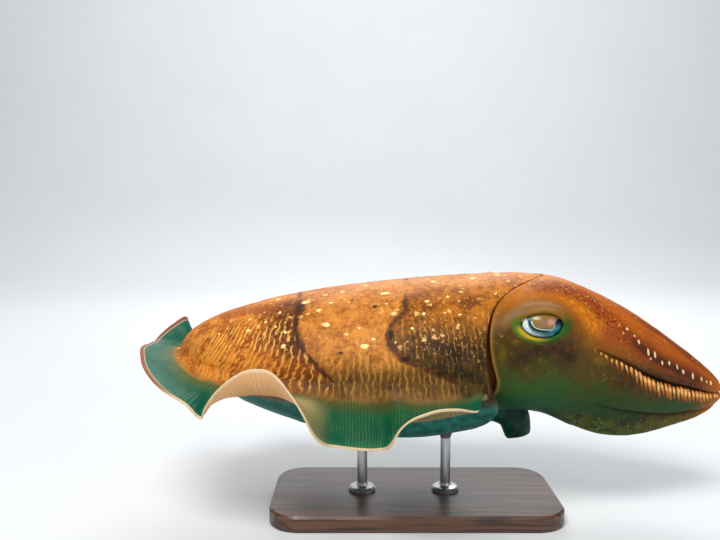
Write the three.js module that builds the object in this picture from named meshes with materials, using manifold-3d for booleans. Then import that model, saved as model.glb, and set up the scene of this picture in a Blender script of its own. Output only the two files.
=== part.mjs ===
// A broadclub cuttlefish at life size, swimming level on a plain display stand.
// Millimetres, +Z up, +X from the tail to the arm tips, +Y to the animal's left.
// The animal is drawn about its own axis, then lifted: the origin is the centre of the base's underside.

import * as THREE from "three";
import { mergeVertices } from "three/addons/utils/BufferGeometryUtils.js";
import Module from "manifold-3d";

const wasm = await Module();
wasm.setup();

// Driving dimensions
const GAP = 0.3; // between pieces that touch
const AXIS_HEIGHT = 136; // mantle axis above the floor
const BASE_CENTRE_X = 48; // centre of the base, near the animal's centre of mass

const TAIL_X = -157; // rear tip of the mantle
const MANTLE_LENGTH = 317; // tail tip to the tip of the dorsal lobe
const TAIL_Z = 4;
const BACK_RISE = 69.5; // tail tip up to the top of the back
const BELLY_DROP = 72; // tail tip down to the deepest belly
const MANTLE_HALF_WIDTH = 86;
const DEEPEST = 0.62; // share of the length where the belly is deepest
const WIDEST = 0.7; // share of the length where the mantle is widest
const RIM_X = 96; // front edge of the mantle at the sides
const LOBE_REACH = 63; // how far the dorsal lobe runs ahead of the sides
const WALL = 6; // thickness of the mantle wall at its front opening
const BULKHEAD_X = 80; // inner end of the opening round the neck

const HEAD_FRONT_X = 192; // plane where the arms leave the head
const ARM_TIP_X = 320;
const ORAL_SHARE = 0.36; // oral faces of the arms, as a share of the crown's radius

const EYE = { x: 144.5, y: 52.5, z: 37, rx: 19, ry: 17, rz: 14 };
// Half sizes of the opening between the lids, and the radii of the rolls round it
const LIDS = { length: 17.4, height: 11.2, upper: 4.2, lower: 3.2, corner: 2.6 };

const SUCKERS = { pairs: 6, radius: 2.9, height: 2.3, sides: 5, firstX: 206, lastX: 302 };
const BARS = { count: 22, length: 10, width: 2.6, height: 1.7, firstX: 206, lastX: 309 };

const FIN_FRONT_X = 99;
const FIN_ROOT_THICKNESS = 5;
const FIN_EDGE_THICKNESS = 1.3;

const BASE = { length: 250, width: 120, height: 14, corner: 26, bevel: 2 };
const ROD_RADIUS = 4.5;
const ROD_X = { rear: 2, front: 76 };

// Small helpers
const radians = THREE.MathUtils.degToRad;
const clamp01 = (value) => THREE.MathUtils.clamp(value, 0, 1);
const bump = (value, centre, width) => Math.exp(-(((value - centre) / width) ** 2));
const signedPower = (value, power) => Math.sign(value) * Math.abs(value) ** power;

// A smooth function through a few [place, value] knots, flat beyond its ends
function through(knots) {
  const slope = knots.map(([x, y], i) => {
    const [xa, ya] = knots[Math.max(i - 1, 0)];
    const [xb, yb] = knots[Math.min(i + 1, knots.length - 1)];
    return (yb - ya) / (xb - xa);
  });
  return (x) => {
    if (x <= knots[0][0]) return knots[0][1];
    const next = knots.findIndex(([at]) => at >= x);
    if (next < 0) return knots[knots.length - 1][1];
    const [xa, ya] = knots[next - 1];
    const [xb, yb] = knots[next];
    const span = xb - xa;
    const t = (x - xa) / span;
    const bend = slope[next - 1] * span * t * (1 - t) ** 2 - slope[next] * span * t * t * (1 - t);
    return ya + (yb - ya) * t * t * (3 - 2 * t) + bend;
  };
}

// Turns an indexed triangle list into a geometry whose faces point out
function closedGeometry(points, index) {
  let volume = 0;
  for (let i = 0; i < index.length; i += 3) {
    const [a, b, c] = [points[index[i]], points[index[i + 1]], points[index[i + 2]]];
    volume += a.dot(b.clone().cross(c));
  }
  if (volume < 0) {
    index = index.slice().reverse();
  }
  return new THREE.BufferGeometry().setFromPoints(points).setIndex(index);
}

// Skin through rings of equal count, with a fan to a point at each end
function loft(startPoint, rings, endPoint) {
  const sides = rings[0].length;
  const points = [startPoint, ...rings.flat(), endPoint];
  const last = points.length - 1;
  const at = (ring, side) => 1 + ring * sides + (side % sides);
  const index = [];
  for (let side = 0; side < sides; side += 1) {
    index.push(0, at(0, side + 1), at(0, side));
    index.push(last, at(rings.length - 1, side), at(rings.length - 1, side + 1));
    for (let ring = 0; ring < rings.length - 1; ring += 1) {
      const [a, b] = [at(ring, side), at(ring, side + 1)];
      const [c, d] = [at(ring + 1, side), at(ring + 1, side + 1)];
      index.push(a, b, c, b, d, c);
    }
  }
  return closedGeometry(points, index);
}

function mirrored(geometry) {
  const copy = geometry.clone().applyMatrix4(new THREE.Matrix4().makeScale(1, -1, 1));
  const index = Array.from(copy.index.array).reverse();
  return copy.setIndex(index);
}

// Joining and cutting
function toSolid(geometry) {
  const bare = geometry.clone();
  bare.deleteAttribute("normal");
  bare.deleteAttribute("uv");
  const merged = mergeVertices(bare, 1e-4);
  const mesh = new wasm.Mesh({
    numProp: 3,
    vertProperties: merged.attributes.position.array,
    triVerts: new Uint32Array(merged.index.array),
  });
  return new wasm.Manifold(mesh);
}

// The largest closed surface of a solid, so that no loose scrap stays
function toGeometry(solid) {
  const body = solid.decompose().sort((a, b) => b.volume() - a.volume())[0];
  const mesh = body.getMesh();
  const stride = mesh.numProp;
  const positions = new Float32Array(mesh.numVert * 3);
  for (let i = 0; i < mesh.numVert; i += 1) {
    positions.set(mesh.vertProperties.subarray(i * stride, i * stride + 3), i * 3);
  }
  return new THREE.BufferGeometry()
    .setAttribute("position", new THREE.BufferAttribute(positions, 3))
    .setIndex(new THREE.BufferAttribute(new Uint32Array(mesh.triVerts), 1));
}

const cut = (geometry, ...tools) =>
  toGeometry(tools.reduce((solid, tool) => solid.subtract(toSolid(tool)), toSolid(geometry)));

const joined = (geometry, pieces) =>
  toGeometry(pieces.reduce((solid, piece) => solid.add(toSolid(piece)), toSolid(geometry)));

// Mantle: lines of its side and top views, by share of its length from the tail
const mantleShare = (x) => Math.max(0, (x - TAIL_X) / MANTLE_LENGTH);

function backLine(x) {
  const share = Math.min(1, mantleShare(x));
  return TAIL_Z + BACK_RISE * (1 - (1 - share) ** 1.8) ** 0.45;
}

function bellyLine(x) {
  const share = mantleShare(x);
  const toDeepest = Math.min(1, share / DEEPEST);
  const tuck = 134 * Math.max(0, share - DEEPEST) ** 1.6;
  return TAIL_Z - BELLY_DROP * (1 - (1 - toDeepest) ** 2) ** 0.9 + tuck;
}

function mantleHalfWidth(x) {
  const share = mantleShare(x);
  const toWidest = Math.min(1, share / WIDEST);
  return MANTLE_HALF_WIDTH * (1 - (1 - toWidest) ** 2.2) ** 0.5 - 25 * Math.max(0, share - WIDEST);
}

// Height of the line along each side where the fin is rooted
function sideLine(x) {
  const share = mantleShare(x);
  return TAIL_Z - 16 * (1 - Math.exp(-share / 0.08)) - 4 * Math.max(0, share - 0.5);
}

// A point of the mantle's outside, around in degrees from the back down the right side, grown outwards
function mantlePoint(x, around, grow = 0) {
  const c = Math.cos(radians(around));
  const s = Math.sin(radians(around));
  const side = sideLine(x);
  const reach = (c > 0 ? backLine(x) - side : side - bellyLine(x)) + grow;
  return new THREE.Vector3(x, -(mantleHalfWidth(x) + grow) * s, side + reach * c);
}

// Where the mantle's front edge lies, with its lobe over the head and its corners beside the funnel
function rimX(around) {
  const turn = Math.min(around, 360 - around);
  const lobe = LOBE_REACH * Math.exp(-((turn / 31) ** 1.75));
  const corner = 12 * bump(turn, 112, 26);
  const notch = 8 * bump(turn, 180, 30);
  return RIM_X + lobe + corner - notch;
}

// The mantle's skin, its rolled rim and the hollow round the neck, grown outwards
function mantleGeometry(grow = 0) {
  const sides = 32;
  const steps = 20;
  const angles = Array.from({ length: sides }, (_, i) => (i * 360) / sides);
  const rings = [];
  for (let step = 1; step <= steps; step += 1) {
    const share = (step / steps) ** 1.5;
    rings.push(angles.map((a) => mantlePoint(TAIL_X + (rimX(a) - TAIL_X) * share, a, grow)));
  }
  const lip = [[0.8, 0.3], [0.2, 0.6]];
  lip.forEach(([forward, inward]) => {
    rings.push(angles.map((a) => mantlePoint(rimX(a) + forward + grow, a, -WALL * inward)));
  });
  [0.08, 0.4, 0.8].forEach((back) => {
    const xAt = (a) => rimX(a) + (BULKHEAD_X - rimX(a)) * back;
    rings.push(angles.map((a) => mantlePoint(xAt(a), a, -WALL * (0.65 + 0.35 * back) - grow)));
  });
  rings.push(angles.map((a) => mantlePoint(BULKHEAD_X + grow, a, -WALL - grow)));
  const tail = new THREE.Vector3(TAIL_X - grow, 0, TAIL_Z);
  const bulkhead = new THREE.Vector3(BULKHEAD_X + grow, 0, 0);
  return loft(tail, rings, bulkhead);
}

// Head and crown of arms: one outline from the neck to the arm tips
const crownTop = through([
  [80, 57], [105, 64.5], [130, 68], [158, 71], [178, 67.5], [208, 55],
  [236, 40], [265, 20.5], [293, -1], [312, -17], [ARM_TIP_X, -25],
]);
const crownBottom = through([
  [80, -42], [110, -44], [140, -44], [160, -48.5], [182, -56.5], [208, -62],
  [229, -63.5], [250, -61.5], [290, -53], [308, -46.5], [ARM_TIP_X, -37],
]);
const crownHalfWidth = through([
  [80, 70], [100, 73], [120, 70.5], [145, 66], [165, 60], [192, 52],
  [215, 47], [240, 40.5], [265, 32], [290, 21.5], [308, 12], [ARM_TIP_X, 4],
]);
const crownSquareness = through([[80, 2.2], [120, 2.4], [150, 2.5], [200, 2.2], [ARM_TIP_X, 2]]);
const keelShare = through([[150, 0], [175, 0.5], [205, 1], [ARM_TIP_X, 1]]);

// Angles in degrees, from the back down the right side, where neighbouring arms part
const ARM_BOUNDS = [
  () => 0,
  () => 40,
  through([[190, 79], [215, 81], [240, 87], [260, 90], [290, 92], [ARM_TIP_X, 98]]),
  through([[190, 121], [215, 125], [245, 131], [262, 137], [290, 141], [ARM_TIP_X, 152]]),
  () => 180,
];

// A point of the crown at a share of its radius, grown outwards
function crownPoint(x, around, share = 1, grow = 0) {
  const turn = around <= 180 ? around : 360 - around;
  const keel = keelShare(x) * (0.14 * bump(turn, 150, 10) - 0.22 * clamp01((turn - 156) / 24) ** 1.5);
  const reach = share * (1 + keel);
  const power = 2 / crownSquareness(x);
  const middle = (crownTop(x) + crownBottom(x)) / 2;
  const half = (crownTop(x) - crownBottom(x)) / 2;
  const s = signedPower(Math.sin(radians(around)), power);
  const c = signedPower(Math.cos(radians(around)), power);
  return new THREE.Vector3(x, -(crownHalfWidth(x) * reach + grow) * s, middle + (half * reach + grow) * c);
}

function eyeBall(grow = 0) {
  const ball = new THREE.SphereGeometry(1, 16, 12);
  ball.rotateX(Math.PI / 2);
  ball.scale(EYE.rx + grow, EYE.ry + grow, EYE.rz + grow);
  return ball.translate(EYE.x, -EYE.y, EYE.z);
}

// A roll of skin that lies on the eyeball round the opening, thickest above
function lidRing() {
  const around = 26;
  const sides = 8;
  const pathAt = (u) => {
    const x = LIDS.length * Math.cos(u);
    const z = LIDS.height * Math.sin(u);
    const y = -EYE.ry * Math.sqrt(1 - (x / EYE.rx) ** 2 - (z / EYE.rz) ** 2);
    return new THREE.Vector3(x, y, z);
  };
  const points = [];
  for (let i = 0; i < around; i += 1) {
    const u = (i * 2 * Math.PI) / around;
    const centre = pathAt(u);
    const along = pathAt(u + 0.01).sub(centre).normalize();
    const out = centre.clone().normalize();
    out.addScaledVector(along, -out.dot(along)).normalize();
    const across = along.clone().cross(out);
    const lid = Math.sin(u) > 0 ? LIDS.upper : LIDS.lower;
    const size = THREE.MathUtils.lerp(LIDS.corner, lid, Math.abs(Math.sin(u)) ** 0.7);
    for (let j = 0; j < sides; j += 1) {
      const a = (j * 2 * Math.PI) / sides;
      const point = centre.clone().addScaledVector(out, size * Math.cos(a));
      points.push(point.addScaledVector(across, size * Math.sin(a)));
    }
  }
  const at = (i, j) => (i % around) * sides + (j % sides);
  const index = [];
  for (let i = 0; i < around; i += 1) {
    for (let j = 0; j < sides; j += 1) {
      const [a, b, c, d] = [at(i, j), at(i, j + 1), at(i + 1, j), at(i + 1, j + 1)];
      index.push(a, b, c, b, d, c);
    }
  }
  return closedGeometry(points, index).translate(EYE.x, -EYE.y, EYE.z);
}

// The neck is drawn in so that it clears the mantle's opening
const neckShare = through([[80, 0.86], [104, 0.93], [120, 0.985], [135, 1], [200, 1]]);

function headGeometry(grow = 0) {
  const sides = 32;
  const stations = [80.3, 92, 104, 116, 127, 137, 147, 157, 168, 180, HEAD_FRONT_X - GAP];
  const angles = Array.from({ length: sides }, (_, i) => (i * 360) / sides);
  const start = BULKHEAD_X + GAP;
  const ringAt = (x) => angles.map((a) => crownPoint(Math.max(x, start), a, neckShare(x), grow));
  const rings = stations.map(ringAt);
  return loft(new THREE.Vector3(start, 0, 0), rings, new THREE.Vector3(HEAD_FRONT_X - GAP, 0, -5));
}

// Arms, numbered from the back down: each is a wedge of the crown
const armRounding = through([[190, 0.03], [215, 0.07], [250, 0.11], [300, 0.17], [ARM_TIP_X, 0.2]]);
const ARM_RINGS_END_X = 312;
const ARM_ENDS = [316, 320, 319, 315];

// Moves every corner of a flat ring inwards, square to its sides
function insetRing(ring, amount) {
  const middle = middleOf(ring);
  const count = ring.length;
  const inwards = (from, to) => {
    const normal = new THREE.Vector3(0, from.z - to.z, to.y - from.y).normalize();
    const inside = middle.clone().sub(from).dot(normal) > 0;
    return inside ? normal : normal.negate();
  };
  return ring.map((point, i) => {
    const before = inwards(ring[(i + count - 1) % count], point);
    const after = inwards(point, ring[(i + 1) % count]);
    const shift = before.clone().add(after);
    const stretch = Math.max(before.dot(after) + 1, 0.6);
    return point.clone().addScaledVector(shift, amount / stretch);
  });
}

function middleOf(ring) {
  return ring.reduce((sum, p) => sum.add(p), new THREE.Vector3()).divideScalar(ring.length);
}

// Every second arm is wound the other way, so that neighbours split their shared side alike
function armRing(number, x) {
  const across = 6;
  const low = ARM_BOUNDS[number - 1](x);
  const high = ARM_BOUNDS[number](x);
  const outer = [];
  const oral = [];
  for (let i = 0; i <= across; i += 1) {
    const share = i / across;
    const edge = Math.abs(2 * share - 1);
    const angle = low + (high - low) * share;
    outer.push(crownPoint(x, angle, 1 - armRounding(x) * edge ** 4));
    if (i % 2 === 0) oral.unshift(crownPoint(x, angle, ORAL_SHARE * (1 + 0.12 * edge ** 2)));
  }
  const ring = insetRing([...outer, ...oral], 0.62 * GAP);
  return number % 2 === 0 ? ring : ring.reverse();
}

function armGeometry(number) {
  const steps = 14;
  const rings = [];
  for (let step = 0; step <= steps; step += 1) {
    rings.push(armRing(number, HEAD_FRONT_X + (ARM_RINGS_END_X - HEAD_FRONT_X) * (step / steps) ** 0.9));
  }
  const tip = middleOf(rings[steps]).setX(ARM_ENDS[number - 1]);
  return loft(middleOf(rings[0]), rings, tip);
}

const LATHE_AXIS = new THREE.Vector3(0, 1, 0);

// Two rows of cups along the inner face of an arm, smaller towards its tip
function suckersOf(number) {
  const cups = [];
  for (let pair = 0; pair < SUCKERS.pairs; pair += 1) {
    [0.3, 0.7].forEach((side) => {
      const share = (pair + (side > 0.5 ? 0.5 : 0)) / SUCKERS.pairs;
      const x = THREE.MathUtils.lerp(SUCKERS.firstX, SUCKERS.lastX, share ** 0.85);
      const angle = THREE.MathUtils.lerp(ARM_BOUNDS[number - 1](x), ARM_BOUNDS[number](x), side);
      const root = crownPoint(x, angle, ORAL_SHARE);
      const inward = crownPoint(x, angle, 0).sub(root);
      const size = (crownHalfWidth(x) / crownHalfWidth(SUCKERS.firstX)) ** 0.9;
      const [radius, height] = [SUCKERS.radius * size, SUCKERS.height * size];
      const profile = [[0, -1], [0.85 * radius, -1], [radius, height], [0, 0.5 * height]];
      const cup = new THREE.LatheGeometry(profile.map(([r, z]) => new THREE.Vector2(r, z)), SUCKERS.sides);
      cup.applyQuaternion(new THREE.Quaternion().setFromUnitVectors(LATHE_AXIS, inward.normalize()));
      cups.push(cup.translate(root.x, root.y, root.z));
    });
  }
  return cups;
}

// Raised bars across the upper edge of the third arm
function barsOfThirdArm() {
  const bars = [];
  for (let i = 0; i < BARS.count; i += 1) {
    const share = i / (BARS.count - 1);
    const x = THREE.MathUtils.lerp(BARS.firstX, BARS.lastX, share ** 0.92);
    const edge = ARM_BOUNDS[2](x);
    const size = 0.6 + 0.4 * Math.sin(Math.PI * (0.15 + 0.7 * share));
    const turn = radians(1) * 0.5 * (crownHalfWidth(x) + (crownTop(x) - crownBottom(x)) / 2);
    const middle = edge + 1.5 + (0.5 * BARS.length * size) / turn;
    const centre = crownPoint(x, middle, 0.985);
    const ahead = crownPoint(x + 1, middle, 0.985).sub(centre).normalize();
    const down = crownPoint(x + 0.3, middle + 2, 0.985).sub(centre).normalize();
    const out = ahead.clone().cross(down).normalize();
    const bar = new THREE.OctahedronGeometry(1, 0);
    bar.scale(BARS.width / 2, (BARS.length * size) / 2, BARS.height);
    bar.applyMatrix4(new THREE.Matrix4().makeBasis(down.clone().cross(out), down, out));
    bars.push(bar.translate(centre.x, centre.y, centre.z));
  }
  return bars;
}

// Funnel: a bent tube under the neck that ends in an open mouth
function funnelGeometry() {
  const path = new THREE.CatmullRomCurve3([
    new THREE.Vector3(102, 0, -36),
    new THREE.Vector3(123, 0, -43),
    new THREE.Vector3(135.5, 0, -54),
    new THREE.Vector3(140, 0, -71),
  ]);
  const radius = through([[0, 19], [0.4, 17], [0.75, 13.5], [1, 11.5]]);
  const sides = 20;
  const ringAt = (share, size) => {
    const centre = path.getPoint(share);
    const along = path.getTangent(share);
    const across = new THREE.Vector3(0, 1, 0);
    const up = across.clone().cross(along);
    return Array.from({ length: sides }, (_, i) => {
      const a = (i * 2 * Math.PI) / sides;
      const point = centre.clone().addScaledVector(across, size * Math.cos(a));
      return point.addScaledVector(up, size * Math.sin(a));
    });
  };
  const rings = [0, 0.15, 0.3, 0.45, 0.6, 0.75, 0.9].map((share) => ringAt(share, radius(share)));
  rings.push(ringAt(0.985, radius(0.985) - 0.8), ringAt(1, radius(1) - 2.2));
  rings.push(ringAt(0.95, radius(1) - 3.6), ringAt(0.78, radius(1) - 4.2));
  return loft(path.getPoint(0), rings, path.getPoint(0.78));
}

// Fins
// The swimming wave, by share of the fin's length from its front end: the pitch of the chord from root
// to margin and the turn of the sheet between the two, both in degrees
const FIN_WAVES = {
  right: {
    chord: through([
      [0, -40], [0.04, -18], [0.08, -6], [0.13, -8], [0.18, -25], [0.215, -72], [0.25, -76], [0.335, -72],
      [0.355, -50], [0.38, -12], [0.42, 15], [0.46, 30], [0.5, 32], [0.54, 26], [0.595, 5], [0.64, -20],
      [0.67, -38], [0.7, -20], [0.78, -5], [0.87, 7], [0.91, 14], [1, 20],
    ]),
    turn: through([
      [0, 20], [0.04, 80], [0.1, 128], [0.15, 110], [0.2, 20], [0.25, -20], [0.33, -16], [0.38, 60],
      [0.44, 105], [0.56, 100], [0.62, 50], [0.67, -16], [0.74, 36], [0.85, 36], [1, 24],
    ]),
  },
  left: {
    chord: through([
      [0, -36], [0.1, -50], [0.25, 10], [0.4, -62], [0.55, 20], [0.7, -45], [0.78, -8], [0.85, 44],
      [0.9, 32], [0.95, 20], [1, 12],
    ]),
    turn: through([
      [0, 20], [0.1, -10], [0.25, 70], [0.4, -14], [0.55, 70], [0.7, -10], [0.87, 50], [1, 24],
    ]),
  },
};
const finReach = through([
  [0, 11], [0.04, 25], [0.1, 35], [0.2, 42], [0.25, 44], [0.34, 42], [0.5, 40], [0.68, 39], [0.78, 43],
  [0.87, 40], [1, 31],
]);

// Base of the fin on the mantle's side, its outward heading and its width
function finFrame(along) {
  const x = TAIL_X + 1 + (FIN_FRONT_X - TAIL_X - 1) * (1 - along) ** 1.55;
  const step = 0.6;
  const ahead = mantleHalfWidth(x + step);
  const behind = mantleHalfWidth(Math.max(x - step, TAIL_X + 0.05));
  const lead = x + step - Math.max(x - step, TAIL_X + 0.05);
  const outward = new THREE.Vector3(-(ahead - behind), -lead, 0).normalize();
  return { base: new THREE.Vector3(x, -mantleHalfWidth(x), sideLine(x)), outward };
}

function finPoint(wave, along, across) {
  const { base, outward } = finFrame(along);
  const turn = radians(wave.turn(along));
  const start = radians(wave.chord(along)) - turn / 2;
  const chord = (finReach(along) * Math.sin((turn * across) / 2)) / Math.sin(turn / 2);
  const pitch = start + (turn * across) / 2;
  const point = base.clone().addScaledVector(outward, chord * Math.cos(pitch));
  point.z += chord * Math.sin(pitch);
  return point;
}

// A wavy sheet of falling thickness, with triangles alike on both faces
function finGeometry(wave) {
  const rows = 42;
  const columns = [-0.16, 0, 0.2, 0.4, 0.6, 0.8, 1];
  const alongAt = (row) => 0.999 * (row / rows);
  const middle = [];
  for (let row = 0; row <= rows; row += 1) {
    middle.push(columns.map((across) => finPoint(wave, alongAt(row), across)));
  }
  const faces = [1, -1].map((face) =>
    middle.map((line, row) =>
      line.map((point, column) => {
        const ahead = middle[Math.min(row + 1, rows)][column];
        const next = ahead.clone().sub(middle[Math.max(row - 1, 0)][column]);
        const lastColumn = columns.length - 1;
        const out = line[Math.min(column + 1, lastColumn)].clone().sub(line[Math.max(column - 1, 0)]);
        const normal = next.cross(out).normalize();
        const share = clamp01(columns[column]);
        const thickness = THREE.MathUtils.lerp(FIN_ROOT_THICKNESS, FIN_EDGE_THICKNESS, share ** 0.6);
        return point.clone().addScaledVector(normal, (face * thickness) / 2);
      }),
    ),
  );
  const width = columns.length;
  const count = (rows + 1) * width;
  const at = (face, row, column) => face * count + row * width + column;
  const index = [];
  const quad = (a, b, c, d) => index.push(a, b, c, b, d, c);
  for (let row = 0; row < rows; row += 1) {
    for (let column = 0; column < width - 1; column += 1) {
      quad(at(0, row, column), at(0, row + 1, column), at(0, row, column + 1), at(0, row + 1, column + 1));
      const [a, b] = [at(1, row, column), at(1, row + 1, column)];
      const [c, d] = [at(1, row, column + 1), at(1, row + 1, column + 1)];
      index.push(a, c, b, b, c, d);
    }
    quad(at(1, row, 0), at(1, row + 1, 0), at(0, row, 0), at(0, row + 1, 0));
    const edge = width - 1;
    quad(at(0, row, edge), at(0, row + 1, edge), at(1, row, edge), at(1, row + 1, edge));
  }
  for (let column = 0; column < width - 1; column += 1) {
    quad(at(0, 0, column), at(0, 0, column + 1), at(1, 0, column), at(1, 0, column + 1));
    quad(at(1, rows, column), at(1, rows, column + 1), at(0, rows, column), at(0, rows, column + 1));
  }
  return closedGeometry(faces.flat(2), index);
}

// Stand
function baseGeometry() {
  const { length, width, height, corner, bevel } = BASE;
  const [x, y, r] = [length / 2 - bevel, width / 2 - bevel, corner - bevel];
  const outline = new THREE.Shape();
  outline.absarc(x - r, y - r, r, 0, Math.PI / 2);
  outline.absarc(-x + r, y - r, r, Math.PI / 2, Math.PI);
  outline.absarc(-x + r, -y + r, r, Math.PI, 1.5 * Math.PI);
  outline.absarc(x - r, -y + r, r, 1.5 * Math.PI, 2 * Math.PI);
  const settings = {
    depth: height - 2 * bevel,
    bevelThickness: bevel,
    bevelSize: bevel,
    bevelSegments: 1,
    curveSegments: 5,
  };
  return new THREE.ExtrudeGeometry(outline, settings).translate(0, 0, bevel);
}

// A turned rod with a foot flange and a cup that takes the belly's shape
function rodGeometry(x, belly) {
  const bottom = BASE.height + GAP - AXIS_HEIGHT;
  const top = bellyLine(x) + 4;
  const cup = 9;
  const profile = [
    [0, bottom], [12, bottom], [12, bottom + 2.5], [10.5, bottom + 4], [ROD_RADIUS + 1, bottom + 5],
    [ROD_RADIUS, bottom + 7], [ROD_RADIUS, top - 14], [ROD_RADIUS + 1.5, top - 10], [cup, top - 6],
    [cup, top], [0, top],
  ].map(([r, z]) => new THREE.Vector2(r, z));
  const turned = new THREE.LatheGeometry(profile, 16).rotateX(Math.PI / 2);
  return cut(turned.translate(x, 0, 0), belly);
}

// Assembly
const root = new THREE.Group();
const animal = new THREE.Group();
animal.position.set(-BASE_CENTRE_X, 0, AXIS_HEIGHT);
root.add(animal);

const FINISH = {
  back: { color: 0xb26a24, roughness: 0.55, metalness: 0 },
  head: { color: 0xa8681c, roughness: 0.5, metalness: 0 },
  arms: { color: 0x8a5a1e, roughness: 0.5, metalness: 0 },
  fin: { color: 0x7fa58c, roughness: 0.4, metalness: 0 },
  funnel: { color: 0x35584a, roughness: 0.5, metalness: 0 },
  eye: { color: 0xbfae72, roughness: 0.15, metalness: 0 },
  wood: { color: 0x2a1d14, roughness: 0.4, metalness: 0 },
  steel: { color: 0xb8bbbf, roughness: 0.3, metalness: 1 },
};

function addNode(parent, name, geometry, finish) {
  const mesh = new THREE.Mesh(geometry, new THREE.MeshStandardMaterial(FINISH[finish]));
  mesh.name = name;
  parent.add(mesh);
}

const mantle = mantleGeometry();
const mantleClearance = mantleGeometry(GAP);
const leftEyeClearance = mirrored(eyeBall(GAP));
const liddedHead = joined(headGeometry(), [lidRing(), mirrored(lidRing())]);
const head = cut(liddedHead, mantleClearance, eyeBall(GAP), leftEyeClearance);
addNode(animal, "mantle", mantle, "back");
addNode(animal, "head", head, "head");
addNode(animal, "eye_right", eyeBall(), "eye");
addNode(animal, "eye_left", mirrored(eyeBall()), "eye");
addNode(animal, "fin_right", cut(finGeometry(FIN_WAVES.right), mantleClearance), "fin");
addNode(animal, "fin_left", mirrored(cut(finGeometry(FIN_WAVES.left), mantleClearance)), "fin");
addNode(animal, "funnel", cut(funnelGeometry(), headGeometry(GAP), mantleClearance), "funnel");
for (let number = 1; number <= 4; number += 1) {
  const forms = number === 3 ? [...suckersOf(number), ...barsOfThirdArm()] : suckersOf(number);
  const arm = joined(armGeometry(number), forms);
  addNode(animal, `arm_${number}_right`, arm, "arms");
  addNode(animal, `arm_${number}_left`, mirrored(arm), "arms");
}
addNode(root, "stand_base", baseGeometry(), "wood");
Object.entries(ROD_X).forEach(([place, x]) => {
  addNode(animal, `stand_rod_${place}`, rodGeometry(x, mantleClearance), "steel");
});

export default root;
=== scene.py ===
# A broadclub cuttlefish at life size on its display stand: skins, eyes, light and camera.
# Lengths are worked out in millimetres about the animal's own axis, then put in the frame's metres.
import math

import bmesh
import bpy
import numpy as np
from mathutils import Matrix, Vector


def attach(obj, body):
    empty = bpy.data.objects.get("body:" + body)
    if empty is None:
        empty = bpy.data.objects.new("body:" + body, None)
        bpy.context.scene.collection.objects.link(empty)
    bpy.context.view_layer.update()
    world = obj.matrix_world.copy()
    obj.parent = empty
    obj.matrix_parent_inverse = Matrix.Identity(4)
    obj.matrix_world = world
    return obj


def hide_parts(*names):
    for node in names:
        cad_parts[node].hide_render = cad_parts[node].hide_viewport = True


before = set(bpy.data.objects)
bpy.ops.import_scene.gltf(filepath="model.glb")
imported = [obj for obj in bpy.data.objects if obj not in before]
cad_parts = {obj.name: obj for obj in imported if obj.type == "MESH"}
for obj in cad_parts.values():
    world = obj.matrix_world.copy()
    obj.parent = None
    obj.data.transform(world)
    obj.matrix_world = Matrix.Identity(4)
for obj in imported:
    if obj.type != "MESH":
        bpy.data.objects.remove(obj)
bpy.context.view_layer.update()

# Sizes shared with the solids
AXIS_HEIGHT = 136.0
BASE_CENTRE_X = 48.0
SIDES = {"right": -1, "left": 1}  # the sign of y on each side of the animal
TAIL_X = -157.0
MANTLE_LENGTH = 317.0
TAIL_Z = 4.0
BACK_RISE = 69.5
BELLY_DROP = 72.0
MANTLE_HALF_WIDTH = 86.0
DEEPEST = 0.62
WIDEST = 0.7
RIM_X = 96.0
LOBE_REACH = 63.0
WALL = 6.0
BULKHEAD_X = 80.0
HEAD_REAR_X = 80.3
HEAD_FRONT_X = 192.0
ARM_TIP_X = 320.0
ORAL_SHARE = 0.36
FIN_FRONT_X = 99.0
FIN_ROOT_THICKNESS = 5.0
FIN_EDGE_THICKNESS = 1.3
EYE = dict(x=144.5, y=52.5, z=37.0, rx=19.0, ry=17.0, rz=14.0)
LID = dict(length=16.9, height=10.0, reach=1.95)


# Small helpers
def smooth(low, high, value):
    t = np.clip((np.asarray(value, float) - low) / (high - low), 0.0, 1.0)
    return t * t * (3 - 2 * t)


def bump(value, centre, width):
    return np.exp(-(((value - centre) / width) ** 2))


def lerp(a, b, t):
    return a + (b - a) * t


def signed_power(value, power):
    return np.sign(value) * np.abs(value) ** power


def through(knots):
    """A smooth function through a few [place, value] knots, flat beyond its ends."""
    xs = np.array([k[0] for k in knots], float)
    ys = np.array([k[1] for k in knots], float)
    last = len(xs) - 1
    low = np.maximum(np.arange(len(xs)) - 1, 0)
    high = np.minimum(np.arange(len(xs)) + 1, last)
    slope = (ys[high] - ys[low]) / (xs[high] - xs[low])

    def value(x):
        x = np.asarray(x, float)
        i = np.clip(np.searchsorted(xs, x) - 1, 0, last - 1)
        span = xs[i + 1] - xs[i]
        t = np.clip((x - xs[i]) / span, 0.0, 1.0)
        bend = slope[i] * span * t * (1 - t) ** 2 - slope[i + 1] * span * t * t * (1 - t)
        return ys[i] + (ys[i + 1] - ys[i]) * t * t * (3 - 2 * t) + bend

    return value


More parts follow.
